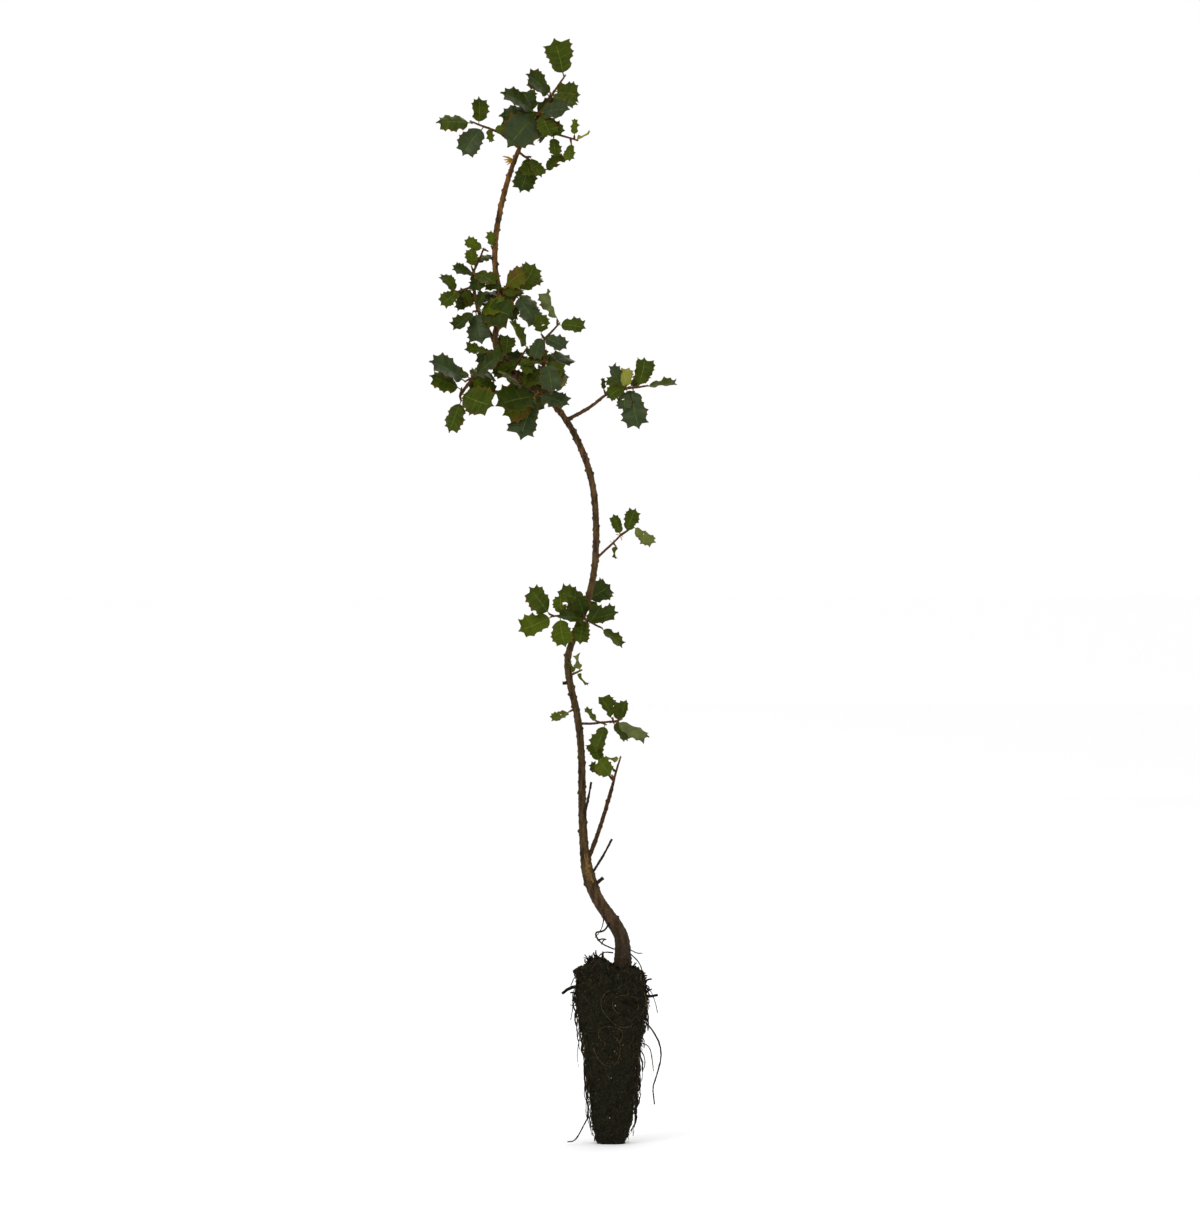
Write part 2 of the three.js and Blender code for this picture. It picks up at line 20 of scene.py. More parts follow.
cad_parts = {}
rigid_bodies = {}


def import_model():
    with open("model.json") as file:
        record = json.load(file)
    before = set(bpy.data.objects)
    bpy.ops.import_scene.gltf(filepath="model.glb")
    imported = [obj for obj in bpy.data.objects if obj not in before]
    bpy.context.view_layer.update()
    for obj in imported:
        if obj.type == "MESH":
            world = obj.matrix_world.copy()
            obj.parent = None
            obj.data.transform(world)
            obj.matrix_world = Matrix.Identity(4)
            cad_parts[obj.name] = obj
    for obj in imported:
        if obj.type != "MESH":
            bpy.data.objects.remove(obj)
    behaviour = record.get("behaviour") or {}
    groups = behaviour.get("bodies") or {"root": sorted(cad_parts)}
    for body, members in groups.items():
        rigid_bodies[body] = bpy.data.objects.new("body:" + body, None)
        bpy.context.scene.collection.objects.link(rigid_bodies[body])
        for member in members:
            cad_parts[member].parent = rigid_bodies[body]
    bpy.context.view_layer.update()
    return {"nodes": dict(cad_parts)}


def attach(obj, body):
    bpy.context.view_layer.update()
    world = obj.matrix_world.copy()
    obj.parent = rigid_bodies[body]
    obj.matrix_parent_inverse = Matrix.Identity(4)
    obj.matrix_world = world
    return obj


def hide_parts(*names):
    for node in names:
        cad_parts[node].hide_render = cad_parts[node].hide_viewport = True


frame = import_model()
LOG = logging.getLogger("sapling")
MM = 0.001
BODY = "root"

Courses = tuple[tuple[float, float, float], ...]
Colour = tuple[float, float, float, float]
Faces = list[tuple[int, ...]]
Thread = tuple[list[Vector], float, float]  # a line, and its radius at its start and at its end
Scar = tuple[float, float, float]  # how far along its limb, its angle round it and its height
Margin = list[tuple[Vector, float]]  # the points down one side of a leaf, and how spiny each is
Socket = bpy.types.NodeSocket


# ---- what grows where


class Tint(Enum):
    """The tints of leaves."""

    DEEP = "deep"
    OLIVE = "olive"
    # Painted sheen: this tint's greyer colours stand in for the grey-blue highlight that the soft
    # light makes on the leaves' wax.
    SHEEN = "sheen"
    FRESH = "fresh"
    YELLOW = "yellow"
    RUSTY = "rusty"
    STRAW = "straw"


class Look(Enum):
    """How a leaf looks: its tint, whether it is folded, and whether it shows its underside."""

    DEEP = (Tint.DEEP, False, False)
    OLIVE = (Tint.OLIVE, False, False)
    # SHEEN, and CURLED further down, take the sheen tint, whose greyer colours are painted sheen.
    SHEEN = (Tint.SHEEN, False, False)
    FRESH = (Tint.FRESH, False, False)
    YELLOW = (Tint.YELLOW, False, False)
    RUSTY = (Tint.RUSTY, False, False)
    FOLDED = (Tint.OLIVE, True, False)
    TURNED = (Tint.OLIVE, False, True)
    CURLED = (Tint.SHEEN, True, True)


DEEP, OLIVE, SHEEN, FRESH, YELLOW, RUSTY, FOLDED, TURNED, CURLED = Look


class Shape(Enum):
    """The shapes of a leaf."""

    WHOLE = "whole"
    BITTEN = "bitten"
    HOLED = "holed"
    SMALL = "small"
    FOLDED = "folded"
    SCALE = "scale"


@dataclass(frozen=True)
class Bough:
    """A limb that springs from its parent at a share of the parent's length."""

    share: float
    radius: float
    courses: Courses
    parent: str = "trunk"


@dataclass(frozen=True)
class Twig:
    """A twig: where it springs from its stem, how it grows, and its leaves from foot to tip.

    A leaf is its lean, its length as seen from the front, and its look where it has one of its own.
    """

    start: float
    lean: float
    away: float
    run: float
    leaves: tuple[tuple, ...]


@dataclass(frozen=True)
class Mass:
    """A mass of leaves: its limb, its stem's share of that limb, its common look and its twigs."""

    limb: str
    share: float
    look: Look
    twigs: tuple[Twig, ...]


@dataclass(frozen=True)
class Tuft:
    """A tuft of bud scales on a limb or on a mass's stem, each scale with its own lean."""

    on: str
    share: float
    length: float
    leans: tuple[float, ...]


# The trunk's courses are (run, lean), a bough's (run, lean, away). Angles are in degrees.
FOOT = (10.5, 0.0, 157.7)
TRUNK_COURSES = (
    (33, 2), (14, -20), (46, -36), (54, -8), (96, 0), (60, -14), (22, 4), (62, 23), (66, 3),
    (55, -8), (64, -28), (52, -59), (36, -32), (35, 20), (56, -13), (94, 13), (59, 34),
)
TRUNK_SWAY, TRUNK_SWAY_STEP = 6.0, 110.0
BOUGHS: dict[str, Bough] = {
    "right_bough": Bough(0.616, 1.5, ((24, 63, -5), (20, 51, -5))),
    "lower_left_bough": Bough(0.713, 1.5, ((18, -120, -12), (18, -132, -5), (18, -145, 4))),
    "left_bough": Bough(0.73, 1.5, ((14, -27, 18), (22, -29, 12), (18, -12, 6), (19, -6, 0))),
    "upper_right_bough": Bough(0.754, 1.4, ((19, 34, -12), (10, 36, 0))),
    "inner_bough": Bough(0.643, 1.4, ((18, -18, -20), (22, -3, -8), (20, 1, 4))),
    "basal_shoot": Bough(0.131, 1.8, ((18, 23, -10), (28, 19, -5), (36, 16, 2))),
    "top_left_bough": Bough(0.944, 1.2, ((23, -52, -8),)),
    "dead_twig_low": Bough(0.115, 0.8, ((26, 32, -14), (18, 27, -8))),
    "dead_twig_high": Bough(0.175, 0.8, ((20, 14, -16), (20, 10, -6))),
    "stub_low": Bough(0.105, 1.8, ((14, 50, -20),)),
    "stub_middle": Bough(0.325, 1.6, ((7, -95, -10),)),
}
MASSES: dict[str, Mass] = {
    "crest": Mass("trunk", 1.0, OLIVE, (
        Twig(0, 33, -6, 30, ((-15, 36),)),
        Twig(0.2, 0, -45, 5, ((-46, 28, DEEP), (110, 27))),
        Twig(0.3, 20, 50, 8, ((-60, 26), (95, 25))),
    )),
    "head": Mass("trunk", 0.985, DEEP, (
        Twig(0, -60, -60, 7, ((-144, 41, SHEEN), (-58, 35))),
        Twig(0.4, 90, -55, 8, ((82, 32, SHEEN), (-88, 37), (159, 25, OLIVE))),
        Twig(0.3, 120, -35, 10, ((143, 23, OLIVE),)),
        Twig(0.3, -60, 55, 8, ((-105, 27), (150, 30), (70, 28), (-30, 25))),
    )),
    "top_right": Mass("trunk", 0.969, FRESH, (
        Twig(0, 107, -16, 44, ((62, 16, YELLOW),)),
        Twig(0.45, 160, -30, 4, ((177, 19, OLIVE),)),
        Twig(0.88, 170, -30, 5, ((-174, 17),)),
        Twig(0.97, 0, -40, 4, ((0, 15),)),
    )),
    "top_low": Mass("trunk", 0.94, OLIVE, (
        Twig(0, 126, -14, 30, ((-167, 32, DEEP), (54, 26))),
        Twig(0.25, 90, -60, 8, ((170, 18), (148, 22))),
    )),
    "top_left": Mass("top_left_bough", 1.0, OLIVE, (
        Twig(0, -68, -6, 29, (
            (81, 20, FRESH), (169, 14, FRESH), (-148, 35, SHEEN), (4, 28), (-88, 34))),
    )),
    "leader_sprig": Mass("trunk", 0.829, FRESH, (
        Twig(0, -30, -25, 4, ((-6, 15),)),
    )),
    "left_upper": Mass("left_bough", 1.0, OLIVE, (
        Twig(0, 22, -6, 26, ((-61, 20, FRESH),)),
        Twig(1.0, 120, -30, 4, ((142, 19, YELLOW),)),
        Twig(0.1, -18, -40, 5, ((-3, 18, FRESH),)),
        Twig(0.15, 175, -60, 7, ((162, 20, DEEP), (114, 28), (-77, 20, DEEP))),
        Twig(0.3, -20, 55, 8, ((-8, 16), (60, 18))),
    )),
    "left_side": Mass("left_bough", 0.84, OLIVE, (
        Twig(0, -107, -14, 17, ((78, 16, FRESH), (158, 18), (-123, 24), (-43, 22))),
    )),
    "left_mid": Mass("left_bough", 0.5, DEEP, (
        Twig(0, -90, -58, 7, ((22, 20), (168, 32, SHEEN), (-131, 26))),
        Twig(0.5, 80, -62, 7, ((97, 34), (77, 28, FRESH))),
    )),
    "left_back": Mass("left_bough", 0.6, DEEP, (
        Twig(0, 0, 60, 9, ((-60, 24), (60, 26), (-100, 22), (110, 22))),
    )),
    "leader_side": Mass("trunk", 0.79, OLIVE, (
        Twig(0, 90, -55, 7, ((102, 18), (-79, 18, DEEP), (51, 24, RUSTY))),
    )),
    "leader_back": Mass("trunk", 0.772, DEEP, (
        Twig(0, 0, 58, 9, ((-70, 24), (40, 24, OLIVE), (140, 24))),
    )),
    "upper_right": Mass("upper_right_bough", 1.0, OLIVE, (
        Twig(0, 26, -30, 6, ((142, 34, SHEEN), (29, 30))),
        Twig(0.4, 20, 55, 8, ((125, 28), (40, 26))),
    )),
    "centre_upper": Mass("trunk", 0.694, OLIVE, (
        Twig(0, 30, -34, 30, ((82, 26), (-120, 24), (144, 19), (75, 22), (-36, 28, FOLDED))),
        Twig(0.05, -28, -24, 16, ((7, 19),)),
    )),
    "centre_left": Mass("trunk", 0.719, OLIVE, (
        Twig(0, -80, -40, 8, ((-84, 22),)),
    )),
    "centre_back": Mass("trunk", 0.714, DEEP, (
        Twig(0, 0, 60, 9, ((-100, 24), (15, 20), (110, 26), (170, 24))),
    )),
    "centre_low": Mass("trunk", 0.675, DEEP, (
        Twig(0, -115, -45, 10, ((21, 20), (48, 26, OLIVE), (-30, 30, SHEEN))),
    )),
    "lower_left_inner": Mass("lower_left_bough", 0.5, OLIVE, (
        Twig(0, -122, -30, 14, ((51, 38, DEEP), (115, 28), (-61, 38, SHEEN))),
    )),
    "lower_left_back": Mass("lower_left_bough", 0.65, OLIVE, (
        Twig(0, 0, 60, 9, ((-70, 28), (75, 28), (165, 26))),
    )),
    "lower_left_tip": Mass("lower_left_bough", 1.0, OLIVE, (
        Twig(0, 170, -30, 5, ((98, 13, YELLOW), (-160, 31))),
        Twig(0.1, 14, -45, 11, ((112, 38), (-67, 34))),
    )),
    "lower_mid": Mass("trunk", 0.655, SHEEN, (
        Twig(0, -108, -58, 8, ((103, 29), (-122, 37, RUSTY))),
        Twig(0.4, -130, -50, 7, ((-100, 38, DEEP), (-160, 42))),
    )),
    "lower_back": Mass("trunk", 0.668, DEEP, (
        Twig(0, 0, 60, 9, ((-65, 28), (-130, 28), (125, 28), (172, 32))),
    )),
    "inner_tip": Mass("inner_bough", 1.0, SHEEN, (
        Twig(0, 44, -8, 20, ((100, 25, OLIVE),)),
        Twig(0.95, -10, -20, 4, ((-19, 32, CURLED),)),
        Twig(0.05, -40, -50, 7, ((118, 24), (-165, 26), (-3, 20, OLIVE))),
    )),
    "inner_low": Mass("inner_bough", 0.58, SHEEN, (
        Twig(0, 40, -60, 7, ((-29, 22), (107, 21, OLIVE), (172, 30))),
    )),
    "inner_foot": Mass("inner_bough", 0.09, SHEEN, (
        Twig(0, 68, -20, 6, ((32, 21, CURLED),)),
    )),
    "inner_back": Mass("inner_bough", 0.52, DEEP, (
        Twig(0, 0, 60, 9, ((-20, 26, OLIVE), (60, 28), (125, 28), (-150, 24))),
    )),
    "right_bough": Mass("right_bough", 1.0, OLIVE, (
        Twig(0, 76, -8, 21, ()),
        Twig(0.05, -18, -20, 5, ((-5, 12),)),
        Twig(0.9, 40, -50, 6, ((-33, 25, SHEEN), (-125, 22))),
        Twig(1.0, 82, -12, 20, ((170, 39, SHEEN), (12, 30, FOLDED), (86, 29))),
        Twig(0.8, 76, -40, 6, ((175, 20, SHEEN), (-13, 20, YELLOW))),
        Twig(0.95, 60, 55, 8, ((150, 24), (-60, 22), (50, 24))),
    )),
    "small_right": Mass("trunk", 0.461, OLIVE, (
        Twig(0, 48, -10, 31, ((-24, 21, FOLDED),)),
        Twig(0.66, 140, -20, 3, ((176, 13),)),
        Twig(1.0, 58, -10, 14, ((20, 23), (128, 27, TURNED))),
    )),
    "mid_left": Mass("trunk", 0.404, OLIVE, (
        Twig(0, -101, -14, 28, ((-114, 34, FRESH),)),
        Twig(0.97, -60, -30, 4, ((-33, 33),)),
        Twig(0.66, -120, -50, 5, ((-2, 20, FRESH), (170, 28, FRESH))),
    )),
    "mid_right": Mass("trunk", 0.4, DEEP, (
        Twig(0, 140, -60, 8, ((-20, 21), (-168, 24, OLIVE), (-83, 27))),
        Twig(0.4, 150, -50, 12, ((76, 29), (32, 22))),
        Twig(1.0, 118, -16, 17, ((135, 28, OLIVE),)),
    )),
    "mid_back": Mass("trunk", 0.413, OLIVE, (
        Twig(0, 0, 60, 9, ((-70, 28), (60, 28, DEEP), (150, 26), (-140, 26, DEEP))),
    )),
    "stem_sprig": Mass("trunk", 0.332, FRESH, (
        Twig(0, 63, -28, 10, ((-29, 12), (132, 16), (-11, 17, TURNED))),
    )),
    "left_sprig": Mass("trunk", 0.297, FRESH, (
        Twig(0, -120, -30, 4, ((-112, 19),)),
    )),
    "right_low": Mass("trunk", 0.28, OLIVE, (
        Twig(0, 86, -10, 32, ((114, 37, CURLED),)),
        Twig(0.6, 120, -30, 4, ((-163, 26),)),
        Twig(0.55, -60, -40, 4, ((-38, 16, FRESH),)),
        Twig(0.95, 0, -40, 4, ((-25, 22, FOLDED),)),
        Twig(1.0, 70, -30, 6, ((16, 20, FOLDED),)),
        Twig(0.85, 90, 40, 9, ((140, 24), (10, 20))),
    )),
    "basal_shoot": Mass("basal_shoot", 1.0, OLIVE, (
        Twig(0, 17, -6, 23, ((-34, 9, FRESH), (-85, 14, TURNED))),
        Twig(0.04, -36, 12, 22, ((-60, 20), (-22, 23))),
        Twig(0.1, -20, -40, 5, ((-39, 20, FRESH),)),
    )),
}
TUFTS = (
    Tuft("trunk", 0.93, 11.0, (-118, -100, -84, -66)),
    Tuft("small_right", 0.98, 5.0, (-70, -20, 40, 110, 160)),
    Tuft("small_right", 0.66, 4.0, (-60, 10)),
    Tuft("right_low", 0.97, 4.5, (-110, 160)),
    Tuft("lower_mid", 0.3, 4.0, (-70, -20)),
    Tuft("stem_sprig", 0.8, 3.5, (-80, 30)),
    Tuft("left_upper", 0.95, 4.0, (-20, 60)),
)
WANDER = 5.0  # degrees that a twig's courses stray
SEEDS = 10  # seeds kept for each mass, one for each of its twigs

# The roots outside the ball: a start inside it, a radius and courses. The wires have no solids.
ROOTS: dict[str, tuple[tuple[float, float, float], float, Courses]] = {
    "stub_root_left": ((-28, -6, 150), 1.9, ((12, -100, -10), (9, -128, -20))),
    "stub_root_right": ((26, -8, 142), 1.7, ((10, 104, -8), (9, 78, -10))),
    "hanging_root_right": (
        (26, -12, 119), 0.9,
        ((14, 120, -20), (26, 152, -6), (30, 195, 4), (6, 205, 0), (17, 174, 0))),
    "hanging_root_left": (
        (-19, -14, 84), 0.9,
        ((9, -128, -25), (14, 180, 0), (17, 174, 4), (21, 172, 0), (9, 211, 0), (18, 207, 0),
         (8, 264, 0))),
}
WIRES: tuple[tuple[tuple[float, float, float], float, Courses], ...] = (
    ((-2, -5, 209), 1.0, ((9, -150, -10), (10, -94, 0), (12, 150, 0), (15, 114, 10))),
    ((-7, -4, 217), 0.6, ((8, -178, -10), (8, -160, 0), (8, -140, 0))),
    ((-13, -5, 193), 0.9, ((6, 75, -10), (3, 110, 0))),
    ((-9, -5, 189), 0.7, ((4, 20, -20), (3, 60, 0))),
    ((2, -4, 181), 0.7, ((9, -84, -6), (6, -130, -6), (6, -150, 0))),
    ((18, -3, 180), 0.7, ((7, 130, -10), (7, 140, -6), (9, 165, 0))),
    ((18, -4, 184), 0.6, ((8, 118, -10), (5, 84, 0))),
    ((28, -6, 96), 0.6, ((10, 110, -20), (14, 170, 0), (10, 175, 0))),
    ((-24, -10, 152), 0.55, ((14, -110, -10), (16, 176, 0), (14, -170, 6))),
    ((-22, -8, 122), 0.5, ((14, -140, -12), (14, 175, 0))),
    ((28, -8, 150), 0.5, ((10, 108, -10), (14, 160, 6), (10, 168, 0))),
    ((-18, 14, 110), 0.4, ((14, -120, 24), (22, -170, 4), (12, 170, 0))),
)

# The radii that make the trunk's taper, its basal swelling and its flare.
TRUNK_TIP, TRUNK_GAIN = 1.8, 1.5
TRUNK_SWELL, TRUNK_SWELL_SHARE = 3.5, 0.13
TRUNK_FLARE, TRUNK_FLARE_SHARE = 1.2, 0.012
BOUGH_TAPER = 0.4
SHORT_TWIG = 12.0  # a twig shorter than this is straight
LEADING_SHARE = 0.995  # past this share of a limb, a stem leads on from its end
SCAR_TURN = 140.0  # degrees round a limb from one leaf scar to the next

# How leaves stand on their twigs, in degrees and in shares, as in the solids.
LEAF_ROLL = 26.0
LOWEST, FOLLOW = 0.2, 0.35
DEPTH, STRAY, LEAF_LEAN, GROWTH = 12.0, 8.0, 4.0, 0.05
LIGHT = Vector((0.0, -0.8, 0.6))
BENDS = (0.0, 0.3, 0.6, 1.0)
STALK = 0.12  # of a leaf's length
CURLED_WIDTH = 0.56  # of a leaf's own width, where it curls up and shows its underside
YOUNG_WIDTH = 1.3  # of a leaf's own width, where it is young and yellow


# ---- chance and paths


class Chance:
    """A seeded generator, so that every run grows the same plant."""

    SEED_STEP, SEED_START = 7919, 17
    FACTOR, RANGE = 48271, 2147483647

    def __init__(self, seed: int) -> None:
        """Starts the generator and leaves out its first two draws."""
        self.state = seed * self.SEED_STEP + self.SEED_START
        self.draw()
        self.draw()

    def draw(self) -> float:
        """Returns the next number between 0 and 1."""
        self.state = (self.state * self.FACTOR) % self.RANGE
        return self.state / self.RANGE

    def spread(self, amount: float) -> float:
        """Returns the next number between minus and plus the amount."""
        return (2 * self.draw() - 1) * amount

    def between(self, low: float, high: float) -> float:
        """Returns the next number between two limits."""
        return low + (high - low) * self.draw()


def heading(lean: float, away: float) -> Vector:
    """Gives the way that a lean from the vertical and an angle through the plant make.

    Args:
        lean: degrees from the vertical towards +X.
        away: degrees towards +Y.

    Returns:
        A unit vector.
    """
    leaning, going = math.radians(lean), math.radians(away)
    return Vector((
        math.sin(leaning) * math.cos(going),
        math.sin(going),
        math.cos(leaning) * math.cos(going),
    ))


def walk(start: Vector, courses: Courses) -> list[Vector]:
    """Returns the corners of a walk from its start through its courses."""
    points = [start.copy()]
    for run, lean, away in courses:
        points.append(points[-1] + heading(lean, away) * run)
    return points


def rounded(points: list[Vector], times: int = 1) -> list[Vector]:
    """Cuts each corner at a quarter and three quarters, as often as told, and keeps both ends."""
    for _ in range(times):
        cut = [points[0]]
        for one, other in zip(points, points[1:]):
            cut += [one.lerp(other, 0.25), one.lerp(other, 0.75)]
        points = [*cut, points[-1]]
    return points


class Path:
    """A line of points with the distance that each of them is along it."""

    def __init__(self, points: list[Vector]) -> None:
        """Measures the line."""
        self.points = points
        self.reach = [0.0]
        for one, other in zip(points, points[1:]):
            self.reach.append(self.reach[-1] + (other - one).length)

    @property
    def length(self) -> float:
        """The whole length of the line."""
        return self.reach[-1]

    def at(self, share: float) -> tuple[Vector, Vector]:
        """Finds a place on the line.

        Args:
            share: how far along it, from 0 to 1.

        Returns:
            The point, and the way that the line runs there.
        """
        wanted = share * self.length
        i = 1
        while i < len(self.points) - 1 and self.reach[i] < wanted:
            i += 1
        one, other = self.points[i - 1], self.points[i]
        along = (wanted - self.reach[i - 1]) / (self.reach[i] - self.reach[i - 1])
        return one.lerp(other, along), (other - one).normalized()

    def frames(self, shares: list[float]) -> Iterator[tuple[float, Vector, Vector, Vector]]:
        """Yields the share, point, side and up at each share, never twisted about the line."""
        side = Vector((1.0, 0.0, 0.0))
        for share in shares:
            point, way = self.at(share)
            side = (side - way * side.dot(way)).normalized()
            yield share, point, side, side.cross(way)


# ---- meshes


@dataclass
class Soup:
    """The corners, faces and face zones that a mesh is made from, in millimetres."""

    corners: list[Vector] = field(default_factory=list)
    faces: Faces = field(default_factory=list)
    zones: list[int] = field(default_factory=list)

    def add(self, corners: list[Vector], faces: Faces, zones: list[int]) -> None:
        """Adds a closed shell."""
        first = len(self.corners)
        self.corners += corners
        self.faces += [tuple(first + i for i in face) for face in faces]
        self.zones += zones

    def add_drum(self, corners: list[Vector], rings: int, zone: int = 0) -> None:
        """Adds a drum of rings with its two ends closed, all of it in one zone."""
        faces = drum_faces(rings, len(corners) // rings)
        self.add(corners, faces, [zone] * len(faces))

    def mesh(self, name: str, scale: float = MM) -> bpy.types.Mesh:
        """Makes the Blender mesh, shaded smooth.

        Args:
            name: the mesh's name.
            scale: metres for each unit.

        Returns:
            The mesh, with its zones in a face attribute.
        """
        mesh = bpy.data.meshes.new(name)
        mesh.from_pydata([corner * scale for corner in self.corners], [], self.faces)
        mesh.attributes.new("zone", "INT", "FACE").data.foreach_set("value", self.zones)
        mesh.polygons.foreach_set("use_smooth", [True] * len(self.faces))
        mesh.validate()
        return mesh


def drum_faces(rings: int, sides: int) -> Faces:
    """Returns the faces of a drum of rings, wound so that they point out, with its two ends closed.

    Args:
        rings: the number of rings.
        sides: the corners of each ring.

    Returns:
        The faces, by the numbers of the corners, ring by ring.
    """
    faces = []
    for ring in range(rings - 1):
        for i in range(sides):
            j = (i + 1) % sides
            low, high = ring * sides, (ring + 1) * sides
            faces.append((low + i, high + i, high + j, low + j))
    faces.append(tuple(range(sides)))
    faces.append(tuple((rings - 1) * sides + i for i in reversed(range(sides))))
    return faces


def thread_mesh(name: str, threads: list[Thread]) -> bpy.types.Mesh:
    """Makes bare lines for the tube tree to clothe.

    Args:
        name: the mesh's name.
        threads: each line's points, and its radius at its start and at its end, in millimetres.

    Returns:
        A mesh of edges, with the radius in metres in its `girth` attribute.
    """
    corners, edges, girths = [], [], []
    for points, thick, thin in threads:
        first = len(corners)
        corners += [point * MM for point in points]
        edges += [(first + i, first + i + 1) for i in range(len(points) - 1)]
        last = max(len(points) - 1, 1)
        girths += [(thick + (thin - thick) * i / last) * MM for i in range(len(points))]
    mesh = bpy.data.meshes.new(name)
    mesh.from_pydata(corners, edges, [])
    mesh.attributes.new("girth", "FLOAT", "POINT").data.foreach_set("value", girths)
    return mesh


@dataclass
class Perch:
    """Where one small thing is set: its place, its turn, its size on three axes and its kind."""

    place: Vector
    turn: Quaternion
    size: Vector
    kind: int


def perch_mesh(name: str, perches: list[Perch]) -> bpy.types.Mesh:
    """Makes bare points for the spray tree, carrying each thing's turn, size and kind.

    Args:
        name: the mesh's name.
        perches: where each thing is set.

    Returns:
        A mesh of points.
    """
    mesh = bpy.data.meshes.new(name)
    mesh.from_pydata([perch.place * MM for perch in perches], [], [])
    turns = [value for perch in perches for value in perch.turn.to_euler()]
    sizes = [value for perch in perches for value in perch.size * MM]
    mesh.attributes.new("turn", "FLOAT_VECTOR", "POINT").data.foreach_set("vector", turns)
    mesh.attributes.new("size", "FLOAT_VECTOR", "POINT").data.foreach_set("vector", sizes)
    kinds = [perch.kind for perch in perches]
    mesh.attributes.new("kind", "INT", "POINT").data.foreach_set("value", kinds)
    return mesh


def shown(name: str, data: bpy.types.ID) -> bpy.types.Object:
    """Makes an object of a mesh, a lamp or a camera, and puts it in the scene."""
    thing = bpy.data.objects.new(name, data)
    bpy.context.scene.collection.objects.link(thing)
    return thing


# ---- node trees


class NodeMaker:
    """Adds nodes to a tree and feeds their sockets."""

    def __init__(self, tree: bpy.types.NodeTree) -> None:
        """Takes the tree to build in."""
        self.tree = tree

    def add(self, kind: str, feeds: dict[str | int, object] | None = None, **settings: object
            ) -> bpy.types.Node:
        """Adds one node.

        Args:
            kind: the node's type.
            feeds: a value or another node's output for each input, by its name or number.
            settings: the node's own properties.

        Returns:
            The node.
        """
        node = self.tree.nodes.new(kind)
        for label, value in settings.items():
            setattr(node, label, value)
        for label, value in (feeds or {}).items():
            socket = node.inputs[label]
            if isinstance(value, Socket):
                self.tree.links.new(value, socket)
            else:
                socket.default_value = value
        return node

    def maths(self, operation: str, one: object, other: object = 0.0) -> Socket:
        """Returns the output of a Math node."""
        kind = "ShaderNodeMath"
        return self.add(kind, {0: one, 1: other}, operation=operation).outputs[0]


class GroupMaker(NodeMaker):
    """Builds a node group with named inputs and outputs."""

    def __init__(self, name: str, kind: str, inlets: dict, outlets: dict) -> None:
        """Makes the group, its sockets and its two end nodes.

        Args:
            name: the group's name.
            kind: the tree's type.
            inlets: each input's socket type and first value, by its name.
            outlets: each output's socket type, by its name.
        """
        super().__init__(bpy.data.node_groups.new(name, kind))
        for label, (socket_type, value) in inlets.items():
            socket = self.tree.interface.new_socket(
                name=label, in_out="INPUT", socket_type=socket_type)
            if value is not None:
                socket.default_value = value
        for label, socket_type in outlets.items():
            self.tree.interface.new_socket(name=label, in_out="OUTPUT", socket_type=socket_type)
        self.inlet = self.tree.nodes.new("NodeGroupInput").outputs
        self.outlet = self.tree.nodes.new("NodeGroupOutput").inputs

    def give(self, label: str, output: Socket) -> None:
        """Feeds one of the group's outputs."""
        self.tree.links.new(output, self.outlet[label])


GEOMETRY, FLOAT, INTEGER = "NodeSocketGeometry", "NodeSocketFloat", "NodeSocketInt"
MATERIAL, COLLECTION = "NodeSocketMaterial", "NodeSocketCollection"


def grown(name: str, source: bpy.types.Mesh, maker: GroupMaker, sizes: dict) -> bpy.types.Mesh:
    """Runs a node tree on a mesh and returns the plain result.

    Args:
        name: the result's name.
        source: the mesh that the tree starts from.
        maker: the tree's maker.
        sizes: the values of the tree's named inputs.

    Returns:
        A mesh with nothing live on it.
    """
    carrier = shown(f"{name}_source", source)
    modifier = carrier.modifiers.new("grow", "NODES")
    modifier.node_group = maker.tree
    for item in maker.tree.interface.items_tree:
        if item.in_out == "INPUT" and item.name in sizes:
            modifier[item.identifier] = sizes[item.name]
    graph = bpy.context.evaluated_depsgraph_get()
    graph.update()
    evaluated = carrier.evaluated_get(graph)
    mesh = bpy.data.meshes.new_from_object(
        evaluated, preserve_all_data_layers=True, depsgraph=graph)
    carrier.modifiers.remove(modifier)
    bpy.data.objects.remove(carrier)
    mesh.name = name
    for label in ("girth", "turn", "size", "kind", "zone"):
        if label in mesh.attributes:
            mesh.attributes.remove(mesh.attributes[label])
    return mesh


